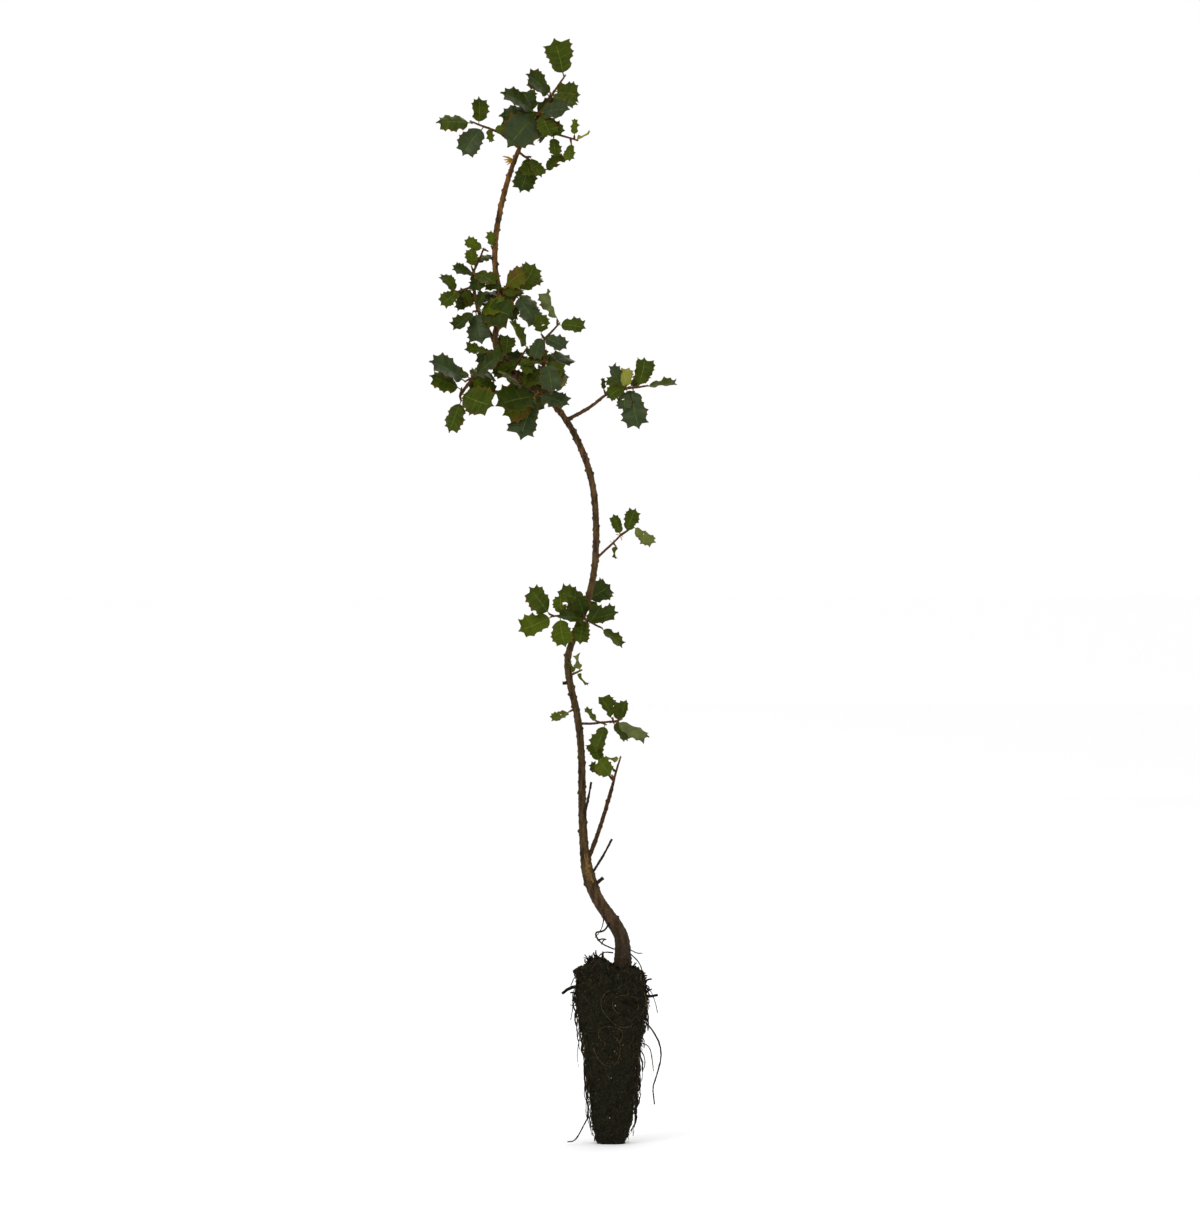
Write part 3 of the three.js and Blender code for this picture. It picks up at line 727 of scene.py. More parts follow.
class TubeTree(GroupMaker):
    """Clothes bare lines in round bark: each is resampled, swept and roughened."""

    def __init__(self) -> None:
        """Builds the tree."""
        super().__init__("tube_tree", "GeometryNodeTree", {
            "Lines": (GEOMETRY, None), "Sides": (INTEGER, 6), "Step": (FLOAT, 0.002),
            "Roughness Height": (FLOAT, 0.0001), "Roughness Scale": (FLOAT, 900.0),
            "Bark": (MATERIAL, None),
        }, {"Tubes": GEOMETRY})
        curve = self.add("GeometryNodeMeshToCurve", {"Mesh": self.inlet["Lines"]}).outputs[0]
        even = self.add("GeometryNodeResampleCurve", {
            "Curve": curve, "Length": self.inlet["Step"]}, mode="LENGTH").outputs[0]
        girth = self.add("GeometryNodeInputNamedAttribute", {"Name": "girth"}, data_type="FLOAT")
        ring = self.add("GeometryNodeCurvePrimitiveCircle", {
            "Resolution": self.inlet["Sides"], "Radius": 1.0}).outputs[0]
        swept = self.add("GeometryNodeCurveToMesh", {
            "Curve": even, "Profile Curve": ring, "Scale": girth.outputs[0],
            "Fill Caps": True}).outputs[0]
        place = self.add("GeometryNodeInputPosition").outputs[0]
        rough = self.add("ShaderNodeTexNoise", {
            "Vector": place, "Scale": self.inlet["Roughness Scale"], "Detail": 2.0}).outputs["Fac"]
        lift = self.maths("MULTIPLY", self.maths("SUBTRACT", rough, 0.5),
                          self.inlet["Roughness Height"])
        normal = self.add("GeometryNodeInputNormal").outputs[0]
        offset = self.add("ShaderNodeVectorMath", {0: normal, "Scale": lift},
                          operation="SCALE").outputs[0]
        moved = self.add("GeometryNodeSetPosition", {"Geometry": swept, "Offset": offset})
        smooth = self.add("GeometryNodeSetShadeSmooth", {0: moved.outputs[0]}).outputs[0]
        whole = self.add("GeometryNodeRealizeInstances", {"Geometry": smooth}).outputs[0]
        dressed = self.add("GeometryNodeSetMaterial", {
            "Geometry": whole, "Material": self.inlet["Bark"]}).outputs[0]
        self.give("Tubes", dressed)


class SprayTree(GroupMaker):
    """Sets one of several kinds of thing on each point, and gives each zone its own finish."""

    def __init__(self, zones: int) -> None:
        """Builds the tree for kinds with this many zones.

        Args:
            zones: the number of the kinds' zones.
        """
        inlets = {"Points": (GEOMETRY, None), "Kinds": (COLLECTION, None)}
        inlets |= {f"Finish {zone}": (MATERIAL, None) for zone in range(zones)}
        super().__init__(f"spray_tree_{zones}", "GeometryNodeTree", inlets, {"Sprays": GEOMETRY})
        kinds = self.add("GeometryNodeCollectionInfo", {
            "Collection": self.inlet["Kinds"], "Separate Children": True, "Reset Children": True})
        read = {
            label: self.add("GeometryNodeInputNamedAttribute", {"Name": label}, data_type=kind)
            for label, kind in (("turn", "FLOAT_VECTOR"), ("size", "FLOAT_VECTOR"), ("kind", "INT"),
                                ("zone", "INT"))
        }
        turn = self.add("FunctionNodeEulerToRotation", {"Euler": read["turn"].outputs[0]})
        set_out = self.add("GeometryNodeInstanceOnPoints", {
            "Points": self.inlet["Points"], "Instance": kinds.outputs[0], "Pick Instance": True,
            "Instance Index": read["kind"].outputs[0], "Rotation": turn.outputs[0],
            "Scale": read["size"].outputs[0]}).outputs[0]
        dressed = self.add("GeometryNodeRealizeInstances", {"Geometry": set_out}).outputs[0]
        for zone in range(zones):
            here = self.same(read["zone"].outputs[0], zone)
            dressed = self.add("GeometryNodeSetMaterial", {
                "Geometry": dressed, "Selection": here,
                "Material": self.inlet[f"Finish {zone}"]}).outputs[0]
        self.give("Sprays", dressed)

    def same(self, value: Socket, wanted: int) -> Socket:
        """Returns a test that a whole number is the wanted one."""
        test = self.add("FunctionNodeCompare", data_type="INT", operation="EQUAL")
        whole = [socket for socket in test.inputs if socket.type == "INT"]
        self.tree.links.new(value, whole[0])
        whole[1].default_value = wanted
        return test.outputs[0]


class ScatterTree(GroupMaker):
    """Strews crumbs over a surface, turned and sized by chance from a fixed seed."""

    def __init__(self) -> None:
        """Builds the tree."""
        super().__init__("scatter_tree", "GeometryNodeTree", {
            "Surface": (GEOMETRY, None), "Kinds": (COLLECTION, None), "Density": (FLOAT, 1000.0),
            "Smallest": (FLOAT, 0.0005), "Largest": (FLOAT, 0.0015), "Lowest": (FLOAT, 0.0),
            "Highest": (FLOAT, 1.0), "Seed": (INTEGER, 1), "Finish": (MATERIAL, None),
        }, {"Crumbs": GEOMETRY})
        place = self.add("GeometryNodeInputPosition").outputs[0]
        height = self.add("ShaderNodeSeparateXYZ", {0: place}).outputs[2]
        over = self.maths("GREATER_THAN", height, self.inlet["Lowest"])
        under = self.maths("LESS_THAN", height, self.inlet["Highest"])
        strewn = self.add("GeometryNodeDistributePointsOnFaces", {
            "Mesh": self.inlet["Surface"], "Selection": self.maths("MULTIPLY", over, under),
            "Density": self.inlet["Density"], "Seed": self.inlet["Seed"]})
        kinds = self.add("GeometryNodeCollectionInfo", {
            "Collection": self.inlet["Kinds"], "Separate Children": True, "Reset Children": True})
        whirl = self.chance("FLOAT_VECTOR", Vector((0, 0, 0)), Vector((math.tau,) * 3), 1)
        turn = self.add("FunctionNodeEulerToRotation", {"Euler": whirl}).outputs[0]
        size = self.chance("FLOAT", self.inlet["Smallest"], self.inlet["Largest"], 2)
        set_out = self.add("GeometryNodeInstanceOnPoints", {
            "Points": strewn.outputs["Points"], "Instance": kinds.outputs[0],
            "Pick Instance": True, "Instance Index": self.chance("INT", 0, 99, 3),
            "Rotation": turn, "Scale": size}).outputs[0]
        whole = self.add("GeometryNodeRealizeInstances", {"Geometry": set_out}).outputs[0]
        dressed = self.add("GeometryNodeSetMaterial", {
            "Geometry": whole, "Material": self.inlet["Finish"]}).outputs[0]
        self.give("Crumbs", dressed)

    def chance(self, data_type: str, low: object, high: object, salt: int) -> Socket:
        """Returns a random value between two limits, from the tree's seed and its own salt.

        Args:
            data_type: the kind of value.
            low: the lower limit.
            high: the upper limit.
            salt: what is added to the seed.

        Returns:
            The value's output.
        """
        node = self.add("FunctionNodeRandomValue", data_type=data_type)
        limits = [socket for socket in node.inputs
                  if socket.enabled and socket.name in ("Min", "Max")]
        for socket, value in zip(limits, (low, high)):
            if isinstance(value, Socket):
                self.tree.links.new(value, socket)
            else:
                socket.default_value = value
        self.tree.links.new(self.maths("ADD", self.inlet["Seed"], salt), node.inputs["Seed"])
        return next(socket for socket in node.outputs if socket.enabled)


# ---- finishes


def linear(code: int) -> Colour:
    """Turns a 0xRRGGBB colour into linear light."""
    parts = [((code >> shift) & 255) / 255 for shift in (16, 8, 0)]
    lit = [c / 12.92 if c <= 0.04045 else ((c + 0.055) / 1.055) ** 2.4 for c in parts]
    return (*lit, 1.0)


class GrownSurface(GroupMaker):
    """The shader group that every living surface shares: two colours mottled, flecks and relief."""

    FINER = 4.3  # how much finer the fine noise is than the broad one
    BROAD_DETAIL, FINE_DETAIL = 3.0, 4.0
    TINGE_EDGES = (0.38, 0.64)  # where the broad noise starts to bring the tinge in, and is done
    FLECK_LEVEL = 0.78  # where the fine noise makes a fleck
    FLECK_REACH = 0.4  # how far a whole share of flecks lowers that
    FLECK_SHARPNESS = 9.0
    BROAD_HEIGHT = 0.5  # of the fine noise's height

    def __init__(self) -> None:
        """Builds the group."""
        super().__init__("grown_surface", "ShaderNodeTree", {
            "Base": ("NodeSocketColor", (0.5, 0.5, 0.5, 1)),
            "Tinge": ("NodeSocketColor", (0.5, 0.5, 0.5, 1)),
            "Fleck": ("NodeSocketColor", (0.5, 0.5, 0.5, 1)),
            "Scale": (FLOAT, 100.0), "Stretch": (FLOAT, 1.0), "Fleck Share": (FLOAT, 0.2),
            "Depth": (FLOAT, 0.0002), "Dullness": (FLOAT, 0.5), "Dullness Spread": (FLOAT, 0.1),
        }, {"Colour": "NodeSocketColor", "Dullness": FLOAT, "Normal": "NodeSocketVector"})
        where = self.add("ShaderNodeTexCoord").outputs["Object"]
        squeeze = self.add("ShaderNodeCombineXYZ", {
            0: 1.0, 1: 1.0, 2: self.inlet["Stretch"]}).outputs[0]
        place = self.add("ShaderNodeVectorMath", {0: where, 1: squeeze},
                         operation="MULTIPLY").outputs[0]
        fine_scale = self.maths("MULTIPLY", self.inlet["Scale"], self.FINER)
        broad = self.noise(place, self.inlet["Scale"], self.BROAD_DETAIL)
        fine = self.noise(place, fine_scale, self.FINE_DETAIL)
        tinge_share = self.ramp(broad, *self.TINGE_EDGES)
        tinged = self.mix(tinge_share, self.inlet["Base"], self.inlet["Tinge"])
        lowered = self.maths("MULTIPLY", self.inlet["Fleck Share"], self.FLECK_REACH)
        above = self.maths("SUBTRACT", fine, self.maths("SUBTRACT", self.FLECK_LEVEL, lowered))
        flecks = self.maths("MULTIPLY", above, self.FLECK_SHARPNESS)
        masked = self.add("ShaderNodeClamp", {0: flecks}).outputs[0]
        self.give("Colour", self.mix(masked, tinged, self.inlet["Fleck"]))
        swing = self.maths("MULTIPLY", self.maths("SUBTRACT", broad, 0.5), 2.0)
        dull = self.maths("MULTIPLY", swing, self.inlet["Dullness Spread"])
        self.give("Dullness", self.maths("ADD", self.inlet["Dullness"], dull))
        height = self.maths("ADD", self.maths("MULTIPLY", broad, self.BROAD_HEIGHT), fine)
        bump = self.add("ShaderNodeBump", {
            "Strength": 1.0, "Distance": self.inlet["Depth"], "Height": height}).outputs[0]
        self.give("Normal", bump)

    def noise(self, place: object, scale: object, detail: float) -> Socket:
        """Returns a noise between 0 and 1."""
        return self.add("ShaderNodeTexNoise", {
            "Vector": place, "Scale": scale, "Detail": detail}).outputs["Fac"]

    def ramp(self, value: object, low: float, high: float) -> Socket:
        """Returns the value stretched so that low becomes 0 and high becomes 1."""
        return self.add("ShaderNodeMapRange", {
            "Value": value, "From Min": low, "From Max": high}).outputs[0]

    def mix(self, share: object, one: object, other: object) -> Socket:
        """Returns two colours mixed."""
        node = self.add("ShaderNodeMix", data_type="RGBA")
        for number, value in ((0, share), (6, one), (7, other)):
            self.tree.links.new(value, node.inputs[number])
        return node.outputs[2]


@dataclass(frozen=True)
class Finish:
    """A grown surface's colours and texture. Sizes are in millimetres."""

    name: str
    slot: str
    base: int
    tinge: int
    fleck: int
    grain: float = 8.0
    stretch: float = 1.0
    fleck_share: float = 0.2
    depth: float = 0.1
    dullness: float = 0.6
    dullness_spread: float = 0.1
    specular: float = 0.5
    climb: tuple[tuple[float, int], ...] = ()  # the base colour at heights up the plant, in metres

    def material(self, surface: GrownSurface) -> bpy.types.Material:
        """Makes the material.

        Args:
            surface: the shader group that all finishes share.

        Returns:
            The material, named after the finish.
        """
        material = bpy.data.materials.new(self.name)
        material.use_nodes = True
        material.diffuse_color = linear(self.base)
        maker = NodeMaker(material.node_tree)
        shader = material.node_tree.nodes["Principled BSDF"]
        group = maker.add("ShaderNodeGroup", node_tree=surface.tree)
        values = {
            "Base": linear(self.base), "Tinge": linear(self.tinge), "Fleck": linear(self.fleck),
            "Scale": 1000 / self.grain, "Stretch": self.stretch, "Fleck Share": self.fleck_share,
            "Depth": self.depth * MM, "Dullness": self.dullness,
            "Dullness Spread": self.dullness_spread,
        }
        for label, value in values.items():
            group.inputs[label].default_value = value
        if self.climb:
            material.node_tree.links.new(self.climbing(maker), group.inputs["Base"])
        for output, socket in (("Colour", "Base Color"), ("Dullness", "Roughness"),
                               ("Normal", "Normal")):
            material.node_tree.links.new(group.outputs[output], shader.inputs[socket])
        shader.inputs["Specular IOR Level"].default_value = self.specular
        return material

    def climbing(self, maker: NodeMaker) -> Socket:
        """Returns the base colour as it changes up the plant.

        Args:
            maker: the maker of the material's nodes.

        Returns:
            The colour.
        """
        place = maker.add("ShaderNodeTexCoord").outputs["Object"]
        height = maker.add("ShaderNodeSeparateXYZ", {0: place}).outputs[2]
        ramp = maker.add("ShaderNodeValToRGB", {0: height})
        stops = ramp.color_ramp.elements
        for level, code in self.climb[1:-1]:
            stops.new(level).color = linear(code)
        stops[0].position, stops[0].color = self.climb[0][0], linear(self.climb[0][1])
        stops[-1].position, stops[-1].color = self.climb[-1][0], linear(self.climb[-1][1])
        return ramp.outputs[0]


BARK = Finish("bark", "bark", 0x46341F, 0x281E12, 0x75592F, grain=3.2, stretch=0.25,
              fleck_share=0.38, depth=0.4, dullness=0.75, specular=0.08,
              climb=((0.16, 0x1F1E17), (0.2, 0x3A2E22), (0.23, 0x4E3B27), (0.25, 0x4B3B23),
                     (0.3, 0x463720), (0.55, 0x4F3D22), (0.75, 0x5A4023), (0.9, 0x68461D),
                     (1.0, 0x6E451B)))
BARE_BARK = Finish("bare_bark", "bark", 0x75592E, 0x4E3A20, 0x93743F, grain=2.2, stretch=0.22,
                   fleck_share=0.4, depth=0.3, dullness=0.7, specular=0.08)
SHOOT_BARK = Finish("shoot_bark", "shoot_bark", 0x543619, 0x3A2512, 0x7A5A2C, grain=2.4,
                    stretch=0.4, fleck_share=0.35, depth=0.25, dullness=0.65, specular=0.1)
RED_BARK = Finish("red_shoot_bark", "shoot_bark", 0x402815, 0x24170D, 0x80603A, grain=1.8,
                  fleck_share=0.45, depth=0.3, dullness=0.75, specular=0.08)
DEAD_BARK = Finish("dead_bark", "shoot_bark", 0x2A2016, 0x1A140D, 0x4E3E2A, grain=2.5,
                   depth=0.2, dullness=0.85, specular=0.08)
TWIG_BARK = Finish("twig_bark", "foliage", 0x553213, 0x3C2510, 0x7C5A28, grain=2.4,
                   depth=0.12, dullness=0.6, specular=0.1)
BUD_SCALES = Finish("bud_scales", "shoot_bark", 0x7A5420, 0x553616, 0x9A7232, grain=1.5,
                    depth=0.1, dullness=0.55, specular=0.1)
PEAT = Finish("peat", "peat", 0x1C1C11, 0x0D0E09, 0x42382A, grain=3.0, fleck_share=0.5,
              depth=0.6, dullness=0.9, dullness_spread=0.08, specular=0.06)
PEAT_CRUMB = Finish("peat_crumb", "peat", 0x252415, 0x10110A, 0x524529, grain=7.0,
                    fleck_share=0.5, depth=0.3, dullness=0.9, specular=0.06)
ROOT_BARK = Finish("root_bark", "root_bark", 0x1E160C, 0x120D08, 0x46341C, grain=2.5,
                   depth=0.15, dullness=0.8, specular=0.08)
FINE_ROOT = Finish("fine_root", "root_bark", 0x2A2214, 0x17120B, 0x4A3B24, grain=5.0,
                   depth=0.05, dullness=0.75, specular=0.08)
TAN_ROOT = Finish("tan_root", "root_bark", 0x51432C, 0x352A1B, 0x7A6848, grain=5.0,
                  depth=0.05, dullness=0.75, specular=0.08)
PALE_SPECK = Finish("pale_speck", "peat", 0xB8B2A2, 0x9A9282, 0xD8D4C8, grain=1.0,
                    depth=0.1, dullness=0.8, specular=0.1)
WOOD_BIT = Finish("wood_bit", "peat", 0x3C2715, 0x23180D, 0x6A4A28, grain=2.0,
                  depth=0.15, dullness=0.8, specular=0.1)


@dataclass(frozen=True)
class LeafColours:
    """The colours of a leaf in one tint, and how much its face shines."""

    upper: int
    tinge: int
    under: int
    rib: int
    edge: int
    shine: float = 0.05

    def finishes(self, tint: Tint) -> tuple[Finish, ...]:
        """Returns the finishes of a leaf's face, side veins, midrib, margin and underside.

        Args:
            tint: the tint, for their names.

        Returns:
            The finishes, in the order of the zones.
        """
        faint = mixed(self.upper, self.rib, 0.35)
        rib = mixed(self.upper, self.rib, 0.8)
        worn = mixed(self.edge, self.upper, 0.5)
        # Colours first, then the grain, the fleck share, the depth and the dullness.
        rows = (
            ("face", self.upper, self.tinge, faint, 9.0, 0.1, 0.12, 0.4, 0.12, self.shine),
            ("vein", faint, self.upper, self.rib, 6.0, 0.05, 0.05, 0.5),
            ("midrib", rib, faint, self.rib, 4.0, 0.05, 0.05, 0.5),
            ("margin", self.edge, worn, self.edge, 4.0, 0.2, 0.05, 0.6),
            ("underside", self.under, self.rib, self.under, 7.0, 0.05, 0.1, 0.75),
        )
        return tuple(
            Finish(f"{tint.value}_{part}", "foliage", base, tinge, fleck, grain, 1.0, share, depth,
                   dullness, *(last or (0.1, 0.05)))
            for part, base, tinge, fleck, grain, share, depth, dullness, *last in rows)


def mixed(one: int, other: int, share: float) -> int:
    """Returns a 0xRRGGBB colour that lies a share of the way from one to another."""
    code = 0
    for shift in (16, 8, 0):
        low, high = (one >> shift) & 255, (other >> shift) & 255
        code |= round(low + (high - low) * share) << shift
    return code


LEAF_COLOURS: dict[Tint, LeafColours] = {
    Tint.DEEP: LeafColours(0x2B370B, 0x232D09, 0x454C27, 0x565C2A, 0x55370F),
    Tint.OLIVE: LeafColours(0x38430A, 0x2D3808, 0x525829, 0x626A30, 0x5C3C12),
    # Painted sheen: these greyed colours stand in for the grey-blue highlight of the soft light on
    # the wax; only the shine of 0.14 is real specular reflection.
    Tint.SHEEN: LeafColours(0x2F3B18, 0x273218, 0x4A5030, 0x5C6436, 0x523711, 0.14),
    Tint.FRESH: LeafColours(0x434F0B, 0x394609, 0x5E622F, 0x6A7028, 0x664212),
    Tint.YELLOW: LeafColours(0x827F36, 0x757B2C, 0x8A8840, 0x96914A, 0x76521C),
    Tint.RUSTY: LeafColours(0x404B0A, 0x4E3610, 0x5E582C, 0x666624, 0x663E12),
    Tint.STRAW: LeafColours(0xA87E1C, 0x8A6618, 0xA07C2C, 0xB08A26, 0x8A5E16),
}


# ---- pieces


def piece(name: str, mesh: bpy.types.Mesh, slot: str, nodes: tuple[str, ...] = ()) -> None:
    """Puts a finished mesh in the scene as a piece that rides on the plant.

    Args:
        name: the piece's name.
        mesh: its mesh.
        slot: the record's material slot, which is not used.
        nodes: the solids that it stands for.
    """
    thing = shown(name, mesh)
    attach(thing, BODY)
    if nodes:
        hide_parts(*nodes)
    LOG.info("%s: %d faces, for %d solids", name, len(mesh.polygons), len(nodes))


def shelf(name: str, meshes: list[bpy.types.Mesh]) -> bpy.types.Collection:
    """Keeps kinds of a small thing in a collection outside the scene, in the order given."""
    kinds = bpy.data.collections.new(name)
    for number, mesh in enumerate(meshes):
        kinds.objects.link(bpy.data.objects.new(f"{name}_{number:02d}", mesh))
    return kinds


def clear_shelf(kinds: bpy.types.Collection) -> None:
    """Removes a collection of kinds once its copies are made."""
    for thing in list(kinds.objects):
        bpy.data.objects.remove(thing)
    bpy.data.collections.remove(kinds)


@dataclass
class Limb:
    """A limb's line and its radius at each share of its length."""

    name: str
    path: Path
    radius: Callable[[float], float]


def trunk_radius(share: float) -> float:
    """Returns the trunk's radius at a share of its length."""
    return (
        TRUNK_TIP
        + TRUNK_GAIN * max(1 - share, 0.0) ** 0.45
        + TRUNK_SWELL * math.exp(-((share / TRUNK_SWELL_SHARE) ** 2))
        + TRUNK_FLARE * math.exp(-share / TRUNK_FLARE_SHARE)
    )


def grow_limbs() -> dict[str, Limb]:
    """Returns the trunk and every bough by name.

    Returns:
        The limbs, each after its parent.
    """
    courses = tuple(
        (run, lean, TRUNK_SWAY * math.sin(math.radians(TRUNK_SWAY_STEP * i)))
        for i, (run, lean) in enumerate(TRUNK_COURSES))
    line = Path(rounded(walk(Vector(FOOT), courses), 2))
    limbs = {"trunk": Limb("trunk", line, trunk_radius)}
    for name, bough in BOUGHS.items():
        start = limbs[bough.parent].path.at(bough.share)[0]
        line = Path(rounded(walk(start, bough.courses), 2))
        radius = bough.radius
        limbs[name] = Limb(name, line, lambda at, radius=radius: radius * (1 - BOUGH_TAPER * at))
    return limbs


# ---- trunk and boughs


@dataclass
class Wood:
    """The trunk, the boughs and the dead wood, with the bark's relief in their meshes."""

    trunk_sides: int = 28
    trunk_step: float = 1.3
    bough_sides: int = 16
    bough_step: float = 0.9
    trunk_seed: int = 3
    bough_seed: int = 20
    trunk_tip: float = 0.62  # the share of its radius left at its tip
    bough_tip: float = 0.9
    tip_from: float = 0.9  # where a limb's tip starts to draw in
    tip_run: float = 0.1
    wrinkle: float = 0.3  # how high the bark's long wrinkles stand
    wrinkle_grain: tuple[float, float] = (2.6, 0.11)  # round the limb and along it
    pimple: float = 0.7
    pimple_grain: tuple[float, float] = (0.9, 0.75)
    node_gap: float = 7.5  # along the limb from one leaf scar to the next
    node_gaps: tuple[float, float] = (0.45, 1.3)
    node_height: float = 1.7
    node_heights: tuple[float, float] = (0.35, 1.0)
    node_length: float = 1.4
    node_stray: float = 30.0  # degrees round the limb
    node_room: float = 8.0  # how far off a scar can be felt
    first_node: float = 5.0
    last_node: float = 3.0
    full_node: float = 2.2  # the mean radius from which scars have their full height
    shelf_reach: float = 2.5  # in scar lengths
    shelf_steep: float = 3.0
    shelf_narrow: float = 2.5
    collar: float = 0.2  # the share of a scar's height that goes all the way round
    fork_swell: float = 1.1  # the swelling under the basal shoot
    fork_share: float = 0.115
    fork_length: float = 0.02
    foot_swell: float = 2.8  # how much the trunk widens where it goes into the ball
    foot_share: float = 0.02
    fuller: float = 0.35  # how much the bark adds to a bough
    dead_knob: float = 1.4  # how much a dead twig swells at its tip
    bare: tuple[float, float] = (0.109, 0.141)  # where on the trunk a bare streak runs
    bare_turn: float = 0.38  # the half width of the streak, as an angle
    bare_facing: float = 0.1
    bare_ragged: float = 0.7
    bare_grain: float = 250.0

    def scars(self, length: float, thickness: float, seed: int) -> list[Scar]:
        """Deals the leaf scars along a limb.

        Args:
            length: the limb's length.
            thickness: the limb's mean radius.
            seed: the seed of the deal.

        Returns:
            Each scar's distance along the limb, its angle round it and its height.
        """
        chance = Chance(seed)
        scars, along, turn = [], self.first_node, 0.0
        highest = self.node_height * min(1.0, thickness / self.full_node)
        while along < length - self.last_node:
            scars.append((along, turn, highest * chance.between(*self.node_heights)))
            along += self.node_gap * chance.between(*self.node_gaps)
            turn += math.radians(SCAR_TURN + chance.spread(self.node_stray))
        return scars

    def relief(self, angle: float, along: float, radius: float, scars: list[Scar]) -> float:
        """Returns how far the bark stands out at a place, in millimetres.

        Args:
            angle: the angle round the limb.
            along: the distance along it.
            radius: its radius there.
            scars: the leaf scars that are near.

        Returns:
            The height of the relief.
        """
        out = Vector((math.cos(angle), math.sin(angle), 0))
        round_it, up_it = self.wrinkle_grain
        wrinkles = noise.fractal(
            Vector((out.x * round_it, out.y * round_it, along * up_it)), 0.9, 2.1, 3)
        round_it, up_it = self.pimple_grain
        pimples = noise.noise(
            Vector((out.x * radius * round_it, out.y * radius * round_it, along * up_it)))
        lift = self.wrinkle * wrinkles + self.pimple * max(pimples, 0.0)
        for scar, turn, height in scars:
            gap = (along - scar) / self.node_length
            if abs(gap) < self.shelf_reach:
                facing = math.cos(angle - turn)
                # A scar is a shelf: it rises slowly from below and ends short above.
                shelf_shape = math.exp(-gap * gap * (1.0 if gap < 0 else self.shelf_steep))
                lift += height * shelf_shape * max(facing, 0.0) ** self.shelf_narrow
                lift += self.collar * height * math.exp(-gap * gap)
        return lift

    def skin(self, limb: Limb, sides: int, step: float, seed: int, tip: float) -> Soup:
        """Builds one limb's skin.

        Args:
            limb: the limb.
            sides: the number of its sides.
            step: the distance from ring to ring.
            seed: the seed of its leaf scars.
            tip: the share of its radius that is left at its tip.

        Returns:
            A closed shell.
        """
        length = limb.path.length
        rings = max(4, round(length / step)) + 1
        scars = self.scars(length, limb.radius(0.5), seed)
        fine = Path(rounded(limb.path.points, 1))
        corners = []
        shares = [ring / (rings - 1) for ring in range(rings)]
        for share, point, side, up in fine.frames(shares):
            drawn_in = (1 - tip) * max(0.0, (share - self.tip_from) / self.tip_run)
            radius = limb.radius(share) * (1 - drawn_in)
            if limb.name == "trunk":
                reach = (share - self.fork_share) / self.fork_length
                radius += self.fork_swell * math.exp(-reach * reach)
                radius += self.foot_swell * math.exp(-share / self.foot_share)
            else:
                radius += self.fuller
            near = [scar for scar in scars if abs(scar[0] - share * length) < self.node_room]
            for i in range(sides):
                angle = math.tau * i / sides
                out = side * math.cos(angle) + up * math.sin(angle)
                lift = self.relief(angle, share * length, radius, near)
                corners.append(point + out * (radius + lift))
        soup = Soup()
        soup.add_drum(corners, rings)
        return soup

    def strip(self, mesh: bpy.types.Mesh, line: Path) -> None:
        """Gives the faces of the bare streak on the trunk's front the mesh's second finish.

        Args:
            mesh: the trunk's bark.
            line: the trunk's line.
        """
        low, high = (line.at(share)[0].z * MM for share in self.bare)
        for face in mesh.polygons:
            height = (face.center.z - low) / (high - low)
            if not 0 < height < 1:
                continue
            half = self.bare_turn * math.sin(math.pi * height) ** 0.5
            half *= 1 + self.bare_ragged * noise.noise(face.center * self.bare_grain)
            turn = math.atan2(face.normal.x, -face.normal.y) - self.bare_facing
            face.material_index = int(abs(turn) < half)

    def build(self, limbs: dict[str, Limb], surface: GrownSurface) -> None:
        """Makes the pieces.

        Args:
            limbs: the trunk and boughs.
            surface: the shader group of the finishes.
        """
        trunk = self.skin(
            limbs["trunk"], self.trunk_sides, self.trunk_step, self.trunk_seed, self.trunk_tip)
        mesh = outward(trunk.mesh("trunk_bark"))
        mesh.materials.append(BARK.material(surface))
        mesh.materials.append(BARE_BARK.material(surface))
        self.strip(mesh, limbs["trunk"].path)
        piece("trunk_bark", mesh, BARK.slot, ("trunk",))
        dead = [name for name in limbs if name.startswith(("dead", "stub"))]
        kinds = {
            "young_bark": (
                SHOOT_BARK, self.bough_tip, [name for name in limbs if name.endswith("_bough")]),
            "basal_shoot_bark": (RED_BARK, self.bough_tip, ["basal_shoot"]),
            "dead_wood": (DEAD_BARK, self.dead_knob, dead),
        }
        for name, (finish, tip, nodes) in kinds.items():
            soup = Soup()
            for number, node in enumerate(nodes):
                seed = self.bough_seed + number
                skin = self.skin(limbs[node], self.bough_sides, self.bough_step, seed, tip)
                soup.add(skin.corners, skin.faces, skin.zones)
            mesh = outward(soup.mesh(name))
            mesh.materials.append(finish.material(surface))
            piece(name, mesh, finish.slot, tuple(nodes))


def outward(mesh: bpy.types.Mesh) -> bpy.types.Mesh:
    """Turns every face of a mesh of closed shells to point out, and drops what only built it.

    Args:
        mesh: the mesh, which is changed.

    Returns:
        The same mesh.
    """
    shell = bmesh.new()
    shell.from_mesh(mesh)
    bmesh.ops.recalc_face_normals(shell, faces=shell.faces)
    shell.to_mesh(mesh)
    shell.free()
    if "zone" in mesh.attributes:
        mesh.attributes.remove(mesh.attributes["zone"])
    return mesh


# ---- leaves


class Zone(Enum):
    """The zones of a leaf, each with its own finish."""

    FACE = 0
    VEIN = 1
    MIDRIB = 2
    MARGIN = 3
    UNDERSIDE = 4


